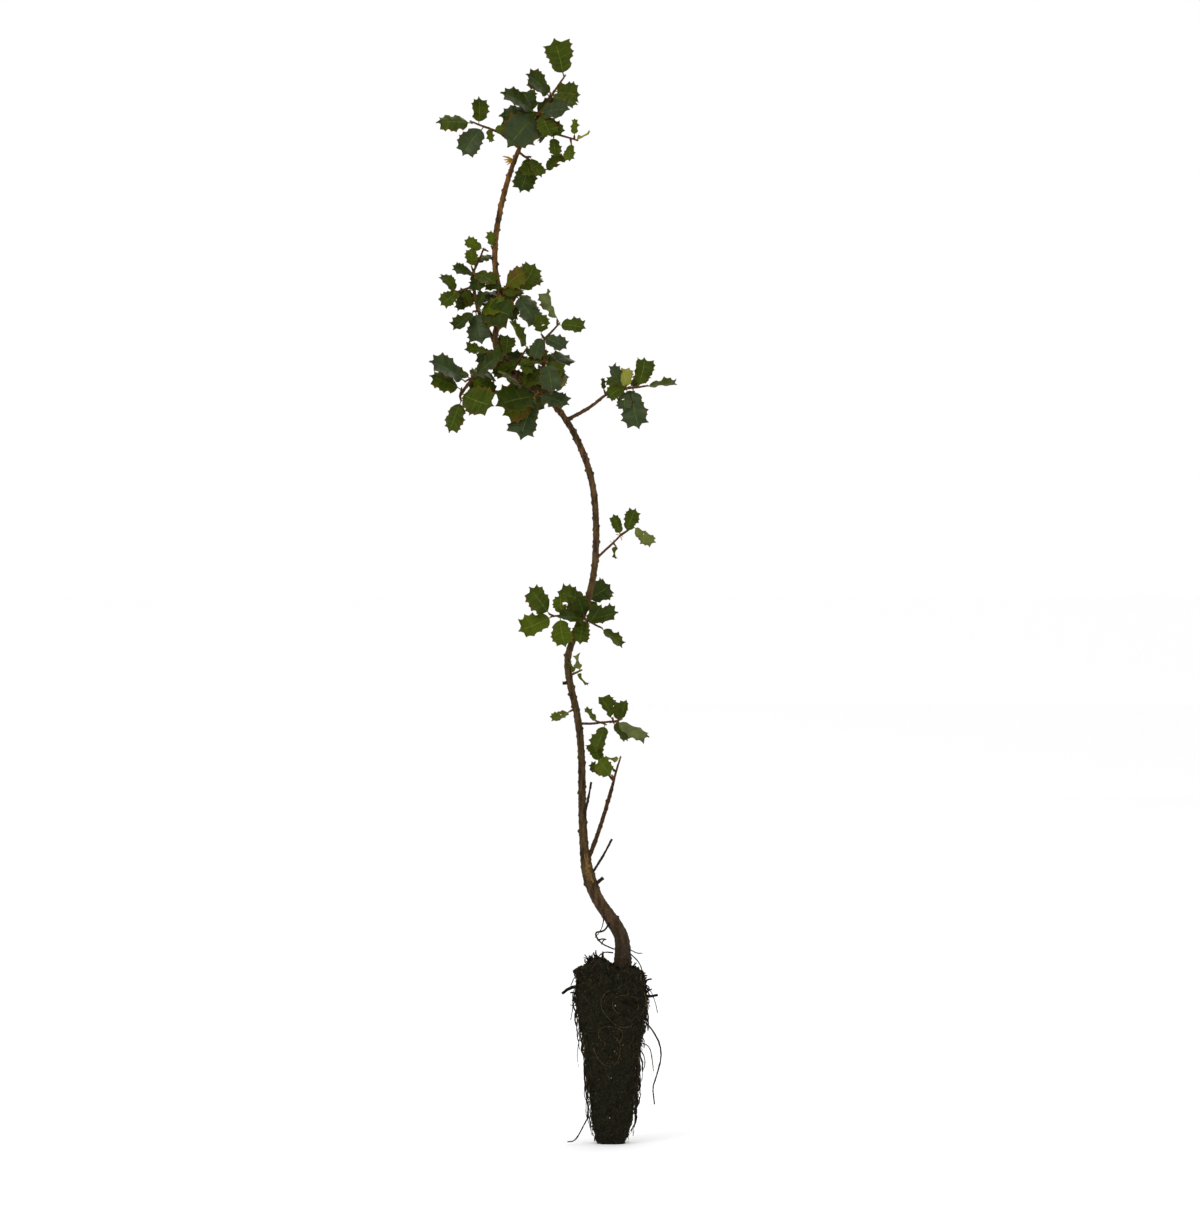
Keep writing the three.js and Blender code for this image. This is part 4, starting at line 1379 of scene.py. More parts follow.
@dataclass(frozen=True)
class LeafKind:
    """One kind of leaf, a unit long, its stalk from the origin along +Y and its face towards +Z.

    The spines' tips lie on an oval, and the margin is an arc that sags inwards between each two.
    """

    shape: Shape
    seed: int
    spines: int = 5  # down each side, besides the one at the tip
    half: float = 0.37  # the oval's half width
    low: float = 0.45  # how full the oval is towards its stalk: less is fuller
    high: float = 0.3  # how full it is towards its tip
    cup: float = 0.1  # how far the sides roll up
    wave: float = 0.03  # how far the spines stand up and down by turns
    arch: float = 0.08
    twist: float = 6.0
    sag: float = 0.27  # how deep an arc of the margin is, of its chord
    thickness: float = 0.012

    COLUMNS = (-1.0, -0.91, -0.66, -0.34, -0.03, 0.03, 0.34, 0.66, 0.91, 1.0)
    BETWEEN = (0.2, 0.5, 0.8)  # the rows between one spine and the next
    HEEL = ((0.0, 0.03), (0.012, 0.16), (0.04, 0.34), (0.1, 0.54))  # along, and of the half width
    FIRST_SPINE, LAST_SPINE, TIP_SPINE = 0.2, 0.9, 1.02
    SPINE_STRAY, SPINE_REACH = 0.16, (0.9, 1.06)  # of the gap between two, and of the oval
    SPINE_HALF = 0.009  # half the width of a spine's tip and of the vein that runs to it
    SAG_POWER = 1.3
    SLANT = 0.12  # how far the side veins run forward
    BOW = 0.05  # how far the midrib bows to one side
    WAVE_ROWS = 5
    NARROWEST = 0.006
    QUILT = 0.01  # how high the blade stands between two veins
    RIB = 0.014
    ARCH_TOP, ARCH_SCALE = 0.4, 1.6
    TWIST_FROM = 0.3
    STALK_SIDES = 6
    STALK_RINGS = ((-0.02, 0.021, 0.0), (0.05, 0.016, -0.004), (0.12, 0.016, -0.014),
                   (0.2, 0.011, -0.016), (0.3, 0.004, -0.012))  # along, radius and height
    EATEN = {  # the first and last column, and from where to where along the blade
        Shape.BITTEN: ((6, 9, 0.52, 0.64), (0, 0, 0.25, 0.32)),
        Shape.HOLED: ((5, 5, 0.43, 0.49),),
    }
    SCORCH = 0.03  # how far the brown rim of a bite reaches

    def oval(self, share: float) -> float:
        """Returns the oval's half width at a share of the blade."""
        share = min(max(share, 0.0), 1.0)
        widest = self.low / (self.low + self.high)
        foot, tip = share / widest, (1 - share) / (1 - widest)
        return self.half * (foot ** self.low) * (tip ** self.high)

    def spine_tips(self, chance: Chance) -> list[Vector]:
        """Returns one side's spine tips across and along the blade, and the tip of the leaf."""
        step = (self.LAST_SPINE - self.FIRST_SPINE) / max(self.spines - 1, 1)
        tips = []
        for k in range(self.spines):
            along = self.FIRST_SPINE + step * k + chance.spread(step * self.SPINE_STRAY)
            tips.append(Vector((self.oval(along) * chance.between(*self.SPINE_REACH), along)))
        return [*tips, Vector((0.0, self.TIP_SPINE))]

    def margin(self, tips: list[Vector]) -> Margin:
        """Returns one side's margin from the stalk to the tip, with how spiny it is at each point.

        Args:
            tips: that side's spine tips.

        Returns:
            The points and how spiny each is.
        """
        points = [(Vector((self.half * part, along)), 0.0) for along, part in self.HEEL]
        for one, other in zip(tips, tips[1:]):
            chord = other - one
            inwards = Vector((-chord.y, chord.x))
            ahead = chord.normalized() * self.SPINE_HALF
            points += [(one - ahead, 1.0), (one + ahead, 1.0)]
            for part in self.BETWEEN:
                deep = (4 * part * (1 - part)) ** self.SAG_POWER
                points.append((one + chord * part + inwards * self.sag * deep, 1 - deep))
        return [*points, (tips[-1], 1.0)]

    def surface(self) -> tuple[list[Vector], Faces, list[int]]:
        """Returns the blade's upper face as corners, faces and zones.

        Returns:
            The corners, row by row, the faces and their zones.
        """
        chance = Chance(self.seed + 50)
        sides = [self.margin(self.spine_tips(chance)) for _ in range(2)]
        sway, phase = chance.spread(self.BOW), chance.between(0, math.tau)
        corners: list[Vector] = []
        rows = list(zip(*sides))
        for number, ((left, spiny), (right, _)) in enumerate(rows):
            level = (left.y + right.y) / 2
            middle = level - self.SLANT * max(math.sin(math.pi * min(level, 1.0)), 0.0) ** 0.8
            lift = self.wave * math.sin(math.pi * number / self.WAVE_ROWS + phase)
            for column in self.COLUMNS:
                out = abs(column)
                edge = left if column < 0 else right
                across = math.copysign(max(edge.x, self.NARROWEST) * out, column)
                along = STALK + (1 - STALK) * (middle + (edge.y - middle) * out ** 0.9)
                quilt = self.QUILT * math.sin(math.pi * min(out * 1.1, 1.0)) * (1 - spiny)
                corners.append(self.bend(across, along, lift * out ** 2 + quilt, sway))
        return corners, *self.facets(rows)

    def bend(self, across: float, along: float, high: float, sway: float) -> Vector:
        """Bends a place on the flat blade: rolled up at its sides, arched along it and twisted.

        Args:
            across: how far the place is from the midrib.
            along: how far it is from the stalk's root.
            high: how far it stands over the flat blade.
            sway: how far the midrib bows to one side.

        Returns:
            The place on the bent blade.
        """
        rolled = self.cup * abs(across) / self.half * 2
        high += abs(across) * math.sin(rolled) - self.drop(along)
        across *= math.cos(rolled)
        turn = math.radians(self.twist) * (along - self.TWIST_FROM)
        bowed = sway * math.sin(math.pi * along)
        return Vector((across * math.cos(turn) + bowed, along, high + across * math.sin(turn)))

    def drop(self, along: float) -> float:
        """Returns how far the arched leaf has dropped at a distance from its stalk's root."""
        return self.arch * (along - self.ARCH_TOP) ** 2 * self.ARCH_SCALE

    def facets(self, rows: list[tuple]) -> tuple[Faces, list[int]]:
        """Returns the faces of the blade, without what has been eaten, and the zone of each.

        Args:
            rows: a point of the left margin and one of the right for each row.

        Returns:
            The faces and their zones.
        """
        count = len(self.COLUMNS)
        faces, zones = [], []
        for number in range(len(rows) - 1):
            veined = rows[number][0][1] == rows[number + 1][0][1] == 1.0
            level = rows[number][0][0].y
            for i in range(count - 1):
                if self.gone(level, i):
                    continue
                corner = number * count + i
                faces.append((corner, corner + 1, corner + count + 1, corner + count))
                zones.append(self.zone_of(i, veined, level).value)
        return faces, zones

    def zone_of(self, column: int, veined: bool, share: float) -> Zone:
        """Returns the zone of a face of the blade."""
        if column in (0, len(self.COLUMNS) - 2) or self.scorched(share, column):
            return Zone.MARGIN
        if column == len(self.COLUMNS) // 2 - 1:
            return Zone.MIDRIB
        return Zone.VEIN if veined else Zone.FACE

    def gone(self, share: float, column: int) -> bool:
        """Tells whether a face has been eaten away."""
        return any(first <= column <= last and low < share < high
                   for first, last, low, high in self.EATEN.get(self.shape, ()))

    def scorched(self, share: float, column: int) -> bool:
        """Tells whether a face lies on the brown rim of a bite or a hole."""
        if self.gone(share, column):
            return False
        steps = ((self.SCORCH, 0), (-self.SCORCH, 0), (0.0, 1), (0.0, -1))
        return any(self.gone(share + down, column + over) for down, over in steps)

    def soup(self) -> Soup:
        """Builds the leaf: the blade given its thickness, its raised rib below, and its stalk.

        Returns:
            The leaf, closed all round.
        """
        upper, faces, zones = self.surface()
        used = sorted({corner for face in faces for corner in face})
        place = {corner: i for i, corner in enumerate(used)}
        count = len(self.COLUMNS)
        top = [upper[corner] for corner in used]
        bottom = []
        for corner in used:
            ribbed = self.RIB if corner % count in (count // 2 - 1, count // 2) else 0.0
            bottom.append(upper[corner] - Vector((0, 0, self.thickness + ribbed)))
        faces = [tuple(place[corner] for corner in face) for face in faces]
        edges = {}
        for face in faces:
            for one, other in zip(face, face[1:] + face[:1]):
                edges[(one, other)] = edges.get((one, other), 0) + 1
        low = len(used)
        under = [tuple(low + corner for corner in reversed(face)) for face in faces]
        plain = (Zone.FACE.value, Zone.VEIN.value)
        lower = [Zone.UNDERSIDE.value if zone in plain else zone for zone in zones]
        rims = [(other, one, low + one, low + other) for one, other in edges
                if (other, one) not in edges]
        soup = Soup()
        soup.add(
            top + bottom,
            faces + under + rims,
            zones + lower + [Zone.MARGIN.value] * len(rims),
        )
        self.add_stalk(soup)
        return soup

    def add_stalk(self, soup: Soup) -> None:
        """Adds the stalk, from just inside the twig to under the blade.

        Args:
            soup: the leaf, which is added to.
        """
        corners = []
        for along, radius, high in self.STALK_RINGS:
            arch = self.drop(along)
            for i in range(self.STALK_SIDES):
                angle = math.tau * i / self.STALK_SIDES
                corners.append(Vector((
                    radius * math.cos(angle), along, high - arch + radius * math.sin(angle))))
        soup.add_drum(corners, len(self.STALK_RINGS), Zone.MIDRIB.value)


LEAF_KINDS = (
    LeafKind(Shape.WHOLE, 1, 5, 0.370, 0.50, 0.24, 0.10, 0.030, 0.10, 8),
    LeafKind(Shape.WHOLE, 2, 4, 0.385, 0.42, 0.38, 0.14, 0.026, 0.06, -10),
    LeafKind(Shape.WHOLE, 3, 5, 0.350, 0.56, 0.30, 0.06, 0.036, 0.16, 5),
    LeafKind(Shape.WHOLE, 4, 5, 0.380, 0.46, 0.34, 0.12, 0.030, 0.09, -6),
    LeafKind(Shape.WHOLE, 5, 4, 0.360, 0.52, 0.26, 0.18, 0.034, 0.05, 12),
    LeafKind(Shape.WHOLE, 6, 5, 0.375, 0.42, 0.32, -0.08, 0.032, 0.18, -4),
    LeafKind(Shape.BITTEN, 7, 5, 0.370, 0.48, 0.28, 0.10, 0.030, 0.08, 7),
    LeafKind(Shape.HOLED, 8, 5, 0.375, 0.48, 0.28, 0.12, 0.028, 0.10, -8),
    LeafKind(Shape.HOLED, 9, 4, 0.370, 0.44, 0.34, 0.06, 0.028, 0.10, 6),
    LeafKind(Shape.SMALL, 13, 3, 0.350, 0.44, 0.28, 0.16, 0.030, 0.10, 10),
    LeafKind(Shape.SMALL, 14, 2, 0.340, 0.46, 0.26, 0.24, 0.030, 0.14, -12),
    LeafKind(Shape.SMALL, 15, 3, 0.320, 0.50, 0.36, 0.12, 0.034, 0.06, 8),
    LeafKind(Shape.FOLDED, 11, 5, 0.360, 0.48, 0.30, 0.34, 0.050, 0.20, 28),
    LeafKind(Shape.FOLDED, 12, 4, 0.350, 0.44, 0.34, 0.28, 0.050, -0.10, -32),
    LeafKind(Shape.SCALE, 10, 3, 0.120, 0.60, 0.60, 0.20, 0.010, 0.30, 10, 0.05),
)
KINDS_OF = {
    shape: [number for number, kind in enumerate(LEAF_KINDS) if kind.shape is shape]
    for shape in Shape
}


@dataclass
class Leaf:
    """One leaf as the rule grows it."""

    base: Vector
    way: Vector
    length: float
    roll: float
    look: Look

    def bent(self, bend: float) -> "Leaf":
        """Returns the leaf bent out of the plane across the plant."""
        out = Vector((0, 1 if self.way.y > 0 else -1, 0))
        return replace(self, way=(self.way + out * bend).normalized())

    def axes(self) -> tuple[Vector, Vector]:
        """Returns the way across the leaf and the way that its face looks."""
        normal = (LIGHT - self.way * LIGHT.dot(self.way)).normalized()
        across = self.way.cross(normal)
        turn = math.radians(self.roll * LEAF_ROLL)
        face = normal * math.cos(turn) + across * math.sin(turn)
        return self.way.cross(face), face


def grow_twig(start: Vector, twig: Twig, chance: Chance) -> Path:
    """Returns the line of a twig, wandering from its lean and away angle at each course."""
    count = 1 if twig.run < SHORT_TWIG else 3
    courses = []
    for _ in range(count):
        lean = twig.lean + chance.spread(WANDER)
        courses.append((twig.run / count, lean, twig.away + chance.spread(WANDER)))
    return Path(walk(start, tuple(courses)))


def grow_leaves(path: Path, twig: Twig, look: Look, chance: Chance) -> list[Leaf]:
    """Returns the leaves of a twig, by turns towards the plant's front and its back.

    Args:
        path: the twig's line.
        twig: the twig, with each of its leaves.
        look: the look of a leaf that has none of its own.
        chance: the twig's own draws.

    Returns:
        The leaves, from its foot to its tip.
    """
    leaves = []
    last = len(twig.leaves) - 1
    for i, (lean, length, *own) in enumerate(twig.leaves):
        share = 1.0 if i == last else LOWEST + (1 - LOWEST) * (i + 0.5) / (last + 1)
        depth = twig.away * FOLLOW + (1 if i % 2 else -1) * (DEPTH + chance.spread(STRAY))
        way = heading(lean + chance.spread(LEAF_LEAN), depth)
        true_length = length / math.cos(math.radians(depth)) * (1 + chance.spread(GROWTH))
        point = path.at(share)[0]
        leaves.append(Leaf(point, way, true_length, chance.spread(1), own[0] if own else look))
    return leaves


@dataclass
class Crown:
    """All masses of leaves: the rule's leaves that the solids carry, on finer twigs."""

    twig_radius: float = 1.3
    twig_tip: float = 0.85
    bud_length: float = 3.2
    seed: int = 40
    found: float = 0.5  # how near a solid's skin a leaf's own points lie where it carries it
    found_twig: float = 1.2
    far: float = 99.0  # stands for a distance that isn't found
    small: float = 19.5  # leaves shorter than this have fewer spines
    bitten: float = 0.05  # the share of leaves bitten, and of those bitten or holed
    holed: float = 0.12
    widths: tuple[float, float] = (0.94, 1.1)
    bud_sizes: tuple[float, float] = (0.7, 1.2)
    bud_sunk: float = 0.4
    scale_away: float = -20.0
    scale_stray: float = 25.0
    scale_sizes: tuple[float, float] = (0.75, 1.1)
    perches: dict[Tint, list[Perch]] = field(default_factory=lambda: {t: [] for t in Tint})
    nodes: dict[Tint, list[str]] = field(default_factory=lambda: {t: [] for t in Tint})
    threads: list[Thread] = field(default_factory=list)
    buds: list[Perch] = field(default_factory=list)
    stems: dict[str, Path] = field(default_factory=dict)

    def grow(self, limbs: dict[str, Limb]) -> None:
        """Grows every mass.

        Args:
            limbs: the trunk and boughs that they hang on.
        """
        chance = Chance(self.seed)
        for number, (name, mass) in enumerate(MASSES.items()):
            node = f"{name}_leaves"
            solid = self.tree_of(node)
            self.nodes[mass.look.value[0]].append(node)
            for order, twig in enumerate(mass.twigs):
                draws = Chance(SEEDS * number + order)
                start = self.start_of(name, mass, twig, limbs)
                line = grow_twig(start, twig, draws)
                if not self.bears(line, solid):
                    continue
                self.stems.setdefault(name, line)
                self.add_twig(line, chance)
                for leaf in grow_leaves(line, twig, mass.look, draws):
                    self.add_leaf(leaf, solid, chance)
            LOG.info("%s grown", node)
        for tuft in TUFTS:
            line = limbs[tuft.on].path if tuft.on in limbs else self.stems[tuft.on]
            self.add_tuft(tuft, line, chance)

    def start_of(self, name: str, mass: Mass, twig: Twig, limbs: dict[str, Limb]) -> Vector:
        """Returns where a twig starts: on its mass's stem, or the stem itself on its limb."""
        if name in self.stems:
            return self.stems[name].at(twig.start)[0]
        limb = limbs[mass.limb]
        start = limb.path.at(mass.share)[0]
        if mass.share < LEADING_SHARE:
            start = start + heading(twig.lean, twig.away) * limb.radius(mass.share)
        return start

    def tree_of(self, node: str) -> BVHTree:
        """Returns a search tree of a solid's faces, in millimetres."""
        mesh = frame["nodes"][node].data
        corners = [corner.co / MM for corner in mesh.vertices]
        return BVHTree.FromPolygons(corners, [tuple(face.vertices) for face in mesh.polygons])

    def bears(self, line: Path, solid: BVHTree) -> bool:
        """Tells whether a solid holds a twig."""
        return self.off_skin(line.at(0.9)[0], solid) < self.found_twig

    def off_skin(self, place: Vector, solid: BVHTree) -> float:
        """Returns how far a place is from a solid's skin, in millimetres."""
        return solid.find_nearest(place)[3] or self.far

    def carried(self, leaf: Leaf, solid: BVHTree) -> bool:
        """Tells whether a solid carries a leaf."""
        across, _ = leaf.axes()
        places = [leaf.base + leaf.way * leaf.length * 0.98]
        places += [leaf.base + leaf.way * leaf.length * 0.5 + across * leaf.length * over
                   for over in (-0.25, 0.25)]
        return all(self.off_skin(place, solid) < self.found for place in places)

    def add_twig(self, line: Path, chance: Chance) -> None:
        """Adds a twig's bark and the bud at its tip."""
        points = rounded(line.points, 2)
        self.threads.append((points, self.twig_radius, self.twig_tip))
        tip, way = line.at(1.0)
        turn = way.to_track_quat("Y", "Z")
        size = self.bud_length * chance.between(*self.bud_sizes)
        self.buds.append(Perch(tip - way * self.bud_sunk, turn, Vector((size,) * 3), 0))

    def add_tuft(self, tuft: Tuft, line: Path, chance: Chance) -> None:
        """Adds the narrow straw scales of an opened bud."""
        base = line.at(tuft.share)[0]
        for lean in tuft.leans:
            way = heading(lean, self.scale_away + chance.spread(self.scale_stray))
            length = tuft.length * chance.between(*self.scale_sizes)
            scale = Leaf(base, way, length, chance.spread(1), OLIVE)
            self.set_out(scale, KINDS_OF[Shape.SCALE][0], Tint.STRAW, False, 1.0)

    def add_leaf(self, leaf: Leaf, solid: BVHTree, chance: Chance) -> None:
        """Adds a leaf in the first of its places where its solid carries it.

        Args:
            leaf: the leaf as it grew.
            solid: the solid's search tree.
            chance: the crown's own draws.
        """
        tint, folded, turned = leaf.look.value
        wide = chance.between(*self.widths)
        if folded and turned:
            wide *= CURLED_WIDTH
        elif tint is Tint.YELLOW:
            wide *= YOUNG_WIDTH
        pick, damage = chance.draw(), chance.draw()
        shape = Shape.WHOLE
        if leaf.length < self.small:
            shape = Shape.SMALL
        elif damage < self.bitten:
            shape = Shape.BITTEN
        elif damage < self.holed:
            shape = Shape.HOLED
        kinds = KINDS_OF[Shape.FOLDED if folded else shape]
        for bend in BENDS:
            placed = leaf.bent(bend)
            if self.carried(placed, solid):
                self.set_out(placed, kinds[int(pick * len(kinds))], tint, turned, wide)
                return

    def set_out(self, leaf: Leaf, kind: int, tint: Tint, turned: bool, wide: float) -> None:
        """Notes a leaf's perch.

        Args:
            leaf: the leaf in its place.
            kind: the number of its kind.
            tint: its tint.
            turned: whether it shows its underside.
            wide: its width as a share of its kind's own.
        """
        across, face = leaf.axes()
        if turned:
            across, face = -across, -face
        turn = Matrix((across, leaf.way, face)).transposed().to_quaternion()
        size = Vector((leaf.length * wide, leaf.length, leaf.length))
        self.perches[tint].append(Perch(leaf.base, turn, size, kind))

    def build(self, surface: GrownSurface) -> None:
        """Makes the pieces: the twigs, the buds, and the leaves of each tint.

        Args:
            surface: the shader group of the finishes.
        """
        tubes = grown("twigs", thread_mesh("twig_lines", self.threads), TubeTree(), {
            "Sides": 8, "Step": 0.0012, "Roughness Height": 0.0007, "Roughness Scale": 600.0,
            "Bark": TWIG_BARK.material(surface)})
        piece("twigs", tubes, TWIG_BARK.slot)
        bud_kinds = shelf("bud_kind", [bud_soup().mesh("bud_kind", 1.0)])
        buds = grown("buds", perch_mesh("bud_points", self.buds), SprayTree(1), {
            "Kinds": bud_kinds, "Finish 0": BUD_SCALES.material(surface)})
        piece("buds", buds, BUD_SCALES.slot)
        clear_shelf(bud_kinds)
        kinds = shelf("leaf_kind", [
            kind.soup().mesh(f"leaf_kind_{kind.seed:02d}", 1.0) for kind in LEAF_KINDS])
        tree = SprayTree(len(Zone))
        for tint, perches in self.perches.items():
            if not perches:
                continue
            finishes = {
                f"Finish {number}": finish.material(surface)
                for number, finish in enumerate(LEAF_COLOURS[tint].finishes(tint))
            }
            name = f"{tint.value}_leaves"
            leaves = grown(name, perch_mesh(f"{name}_points", perches), tree,
                           {"Kinds": kinds, **finishes})
            piece(name, leaves, "foliage", tuple(self.nodes[tint]))
        clear_shelf(kinds)


def bud_soup() -> Soup:
    """Builds a bud a unit long along +Y: a pointed egg, ringed where its scales overlap.

    Returns:
        The bud, closed at both ends.
    """
    sides, rings = 8, 9
    corners = []
    for ring in range(rings):
        share = ring / (rings - 1)
        round_off = math.sin(math.pi * min(share * 0.92 + 0.06, 1.0)) ** 0.7
        radius = 0.27 * round_off * (1 + 0.1 * (ring % 2)) + 0.002
        corners += [
            Vector((radius * math.cos(math.tau * i / sides), share,
                    radius * math.sin(math.tau * i / sides)))
            for i in range(sides)
        ]
    soup = Soup()
    soup.add_drum(corners, rings)
    return soup


# ---- root ball


@dataclass(frozen=True)
class Habit:
    """How one sort of root grows: how many, how high up the ball, how long and how stout."""

    count: int
    heights: tuple[float, float]
    runs: tuple[float, float]
    radii: tuple[float, float]
    left: float  # the share of its radius that is left at its tip


@dataclass
class RootBall:
    """The tapered ball of peat, with its crumbs, its fine roots and the roots that hang from it."""

    rim: float = 140.0
    foot_half: float = 17.0
    foot_narrows: float = 0.22  # how much the foot draws in, and from what height down
    foot_rounds: float = 26.0
    widening: float = 16.0
    widen_power: float = 1.25
    squareness: float = 3.0
    ribs: int = 8
    rib_depth: float = 0.05
    mound: float = 9.0
    mound_x: float = 12.0
    mound_span: float = 12.0
    lean: float = 1.5
    sides: int = 150
    step: float = 1.3
    clinging: Habit = Habit(300, (4, 158), (8, 46), (0.18, 0.36), 0.45)  # over the whole ball
    fringe: Habit = Habit(150, (30, 162), (10, 40), (0.36, 0.72), 0.7)  # down its two sides
    shreds: Habit = Habit(190, (132, 163), (2.5, 9.0), (0.5, 1.15), 0.4)  # round its shoulders
    curls: int = 4  # in rings on its front
    curl_heights: tuple[float, float] = (70, 135)
    curl_reach: tuple[float, float] = (9, 17)
    curl_radii: tuple[float, float] = (0.34, 0.2)  # at its start and at its end
    stout_share: float = 0.15  # these shares are of the clinging roots
    stout_radii: tuple[float, float] = (0.4, 0.7)
    falling_share: float = 0.85
    wisp_share: float = 0.3
    wisp: float = 3.0  # how far a wisp's end stands out
    ragged: float = 1.6  # how rough its shoulders are
    clod: float = 9.0  # how far a clod stands out at its left shoulder
    clod_half: float = 0.3
    clod_height: float = 163.0
    seed: int = 9
    top: tuple[tuple[float, float], ...] = (
        (1.0, 0.0), (0.99, 6.0), (0.97, 12.5), (0.92, 18.0), (0.84, 22.5), (0.72, 25.0),
        (0.6, 26.0), (0.45, 25.6), (0.3, 25.0), (0.15, 24.4), (0.05, 24.0))

    def half(self, height: float) -> float:
        """Returns the ball's half width at a height under its rim."""
        return self.foot_half + self.widening * (height / self.rim) ** self.widen_power

    def plan(self, angle: float) -> float:
        """Returns how far the plan, a rounded square with grooves, reaches at an angle."""
        c, s = abs(math.cos(angle)), abs(math.sin(angle))
        square = (c ** self.squareness + s ** self.squareness) ** (-1 / self.squareness)
        return square * (1 - self.rib_depth * math.cos(self.ribs * 0.5 * angle) ** 8)

    def at(self, angle: float, half: float, height: float, proud: float = 0.0) -> Vector:
        """Returns a place on the ball's skin.

        Args:
            angle: the angle round it.
            half: the half width there.
            height: the height over its foot.
            proud: how far the place stands out of the skin.

        Returns:
            The place, lumps and all.
        """
        half *= 1 - self.foot_narrows * (1 - min(height / self.foot_rounds, 1.0)) ** 2
        reach = half * self.plan(angle) + proud
        if height > self.rim:
            turn = (angle % math.tau - math.pi) / self.clod_half
            reach += self.clod * math.exp(-turn ** 2 - ((height - self.clod_height) / 4) ** 2)
        place = Vector((reach * math.cos(angle), reach * math.sin(angle), height))
        lump = 1.5 * noise.fractal(place * 0.11, 0.8, 2.0, 4)
        lump += 0.6 * noise.noise(place * 0.7)
        if height > self.rim - 12:
            lump += self.ragged * noise.fractal(place * 0.32, 0.7, 2.0, 3)
        foot = min(1.0, height / 4)
        place.x += lump * foot * math.cos(angle) * min(1.0, half / 12)
        place.y += lump * foot * math.sin(angle) * min(1.0, half / 12)
        place.x += self.lean * math.sin(math.pi * min(height / self.rim, 1.0))
        if height > self.rim:
            heap = math.exp(-(((place.x + self.mound_x) / self.mound_span) ** 2))
            share = min(1.0, (height - self.rim) / 20)
            place.z += share * (self.mound * heap + lump * 0.8)
        return place

    def skin(self) -> Soup:
        """Builds the ball's skin.

        Returns:
            A closed shell.
        """
        levels = round(self.rim / self.step)
        rings = [(self.half(self.rim * i / levels), self.rim * i / levels) for i in range(levels)]
        rings = [(0.4, 0.0), *rings]
        full = self.half(self.rim)
        for (share, rise), (next_share, next_rise) in zip(self.top, self.top[1:]):
            for i in range(4):
                part = i / 4
                rings.append((
                    full * (share + (next_share - share) * part),
                    self.rim + rise + (next_rise - rise) * part,
                ))
        rings.append((0.4, self.rim + self.top[-1][1]))
        corners = [
            self.at(math.tau * i / self.sides, half, height)
            for half, height in rings for i in range(self.sides)
        ]
        soup = Soup()
        soup.add_drum(corners, len(rings))
        return soup

    def on_skin(self, angle: float, height: float, proud: float) -> Vector:
        """Returns a place that stands out of the skin, below the top's rounding."""
        level = min(max(height, 2.0), self.rim + 23.0)
        width = self.half(min(level, self.rim))
        if level > self.rim:
            width *= 1 - 0.03 * (level - self.rim) / 12
        return self.at(angle, width, level, proud)

    def clinging_roots(self) -> list[Thread]:
        """Grows the fine roots that wander over the ball, and the wisps that stand out of it.

        Returns:
            Their lines and radii.
        """
        chance = Chance(self.seed)
        threads = []
        for number in range(self.clinging.count):
            angle = chance.between(0, math.tau)
            height = chance.between(*self.clinging.heights)
            run = chance.between(*self.clinging.runs)
            drift = chance.spread(1.2)
            down = chance.between(0.4, 1.0) * (1 if chance.draw() < self.falling_share else -0.6)
            wisp = self.wisp if chance.draw() < self.wisp_share else 0.0
            count = max(5, round(run / 2))
            points = []
            for i in range(count):
                share = i / (count - 1)
                turn = drift * share + 0.35 * math.sin(share * 7 + number * 1.7)
                proud = 0.15 + 0.5 * math.sin(share * 9 + number) + wisp * share ** 2
                points.append(self.on_skin(
                    angle + turn * run / 90, height - run * share * down, proud))
            stout = chance.draw() < self.stout_share
            thick = chance.between(*(self.stout_radii if stout else self.clinging.radii))
            threads.append((rounded(points), thick, thick * self.clinging.left))
        return threads

    def hanging_roots(self) -> list[Thread]:
        """Grows the roots that hang in a fringe down the ball's two sides.

        Returns:
            Their lines and radii.
        """
        chance = Chance(self.seed + 1)
        threads = []
        for number in range(self.fringe.count):
            side = math.pi * (number % 2)
            angle = side + chance.spread(0.6)
            height = chance.between(*self.fringe.heights)
            run = chance.between(*self.fringe.runs)
            stand = chance.between(0.5, 6.5) * abs(math.cos(angle)) ** 2
            swing, phase = chance.between(0.3, 1.3), chance.between(0, math.tau)
            count = max(6, round(run / 2.5))
            points = []
            for i in range(count):
                share = i / (count - 1)
                away = stand * math.sin(math.pi * min(share * 0.75, 0.5))
                away += swing * math.sin(share * run / 5 + phase)
                turn = 0.05 * math.sin(share * run / 7 + phase * 2)
                points.append(self.on_skin(angle + turn, height - run * share, away))
            thick = chance.between(*self.fringe.radii)
            threads.append((rounded(points), thick, thick * self.fringe.left))
        return threads

    def broken_roots(self) -> list[Thread]:
        """Grows the shreds of root that stand out round the ball's shoulders and on its top.

        Returns:
            Their lines and radii.
        """
        chance = Chance(self.seed + 3)
        threads = []
        for number in range(self.shreds.count):
            angle = math.pi * (number % 2) + chance.spread(1.5)
            if number % 5 < 3:
                place = self.on_skin(angle, chance.between(*self.shreds.heights), -1.5)
                up = chance.between(-0.5, 1.0)
            else:
                share, rise = self.top[3 + number % 5]
                place = self.at(angle, self.half(self.rim) * share, self.rim + rise, -1.0)
                up = chance.between(0.6, 2.5)
            run = chance.between(*self.shreds.runs) * (0.3 + 0.7 * abs(math.cos(angle)))
            points = [place]
            for _ in range(3):
                way = Vector((math.cos(angle), math.sin(angle), up)).normalized()
                way += Vector((chance.spread(0.6), chance.spread(0.4), chance.spread(0.6)))
                points.append(points[-1] + way * run / 3)
            thick = chance.between(*self.shreds.radii)
            threads.append((rounded(points), thick, thick * chance.between(self.shreds.left, 1.0)))
        return threads

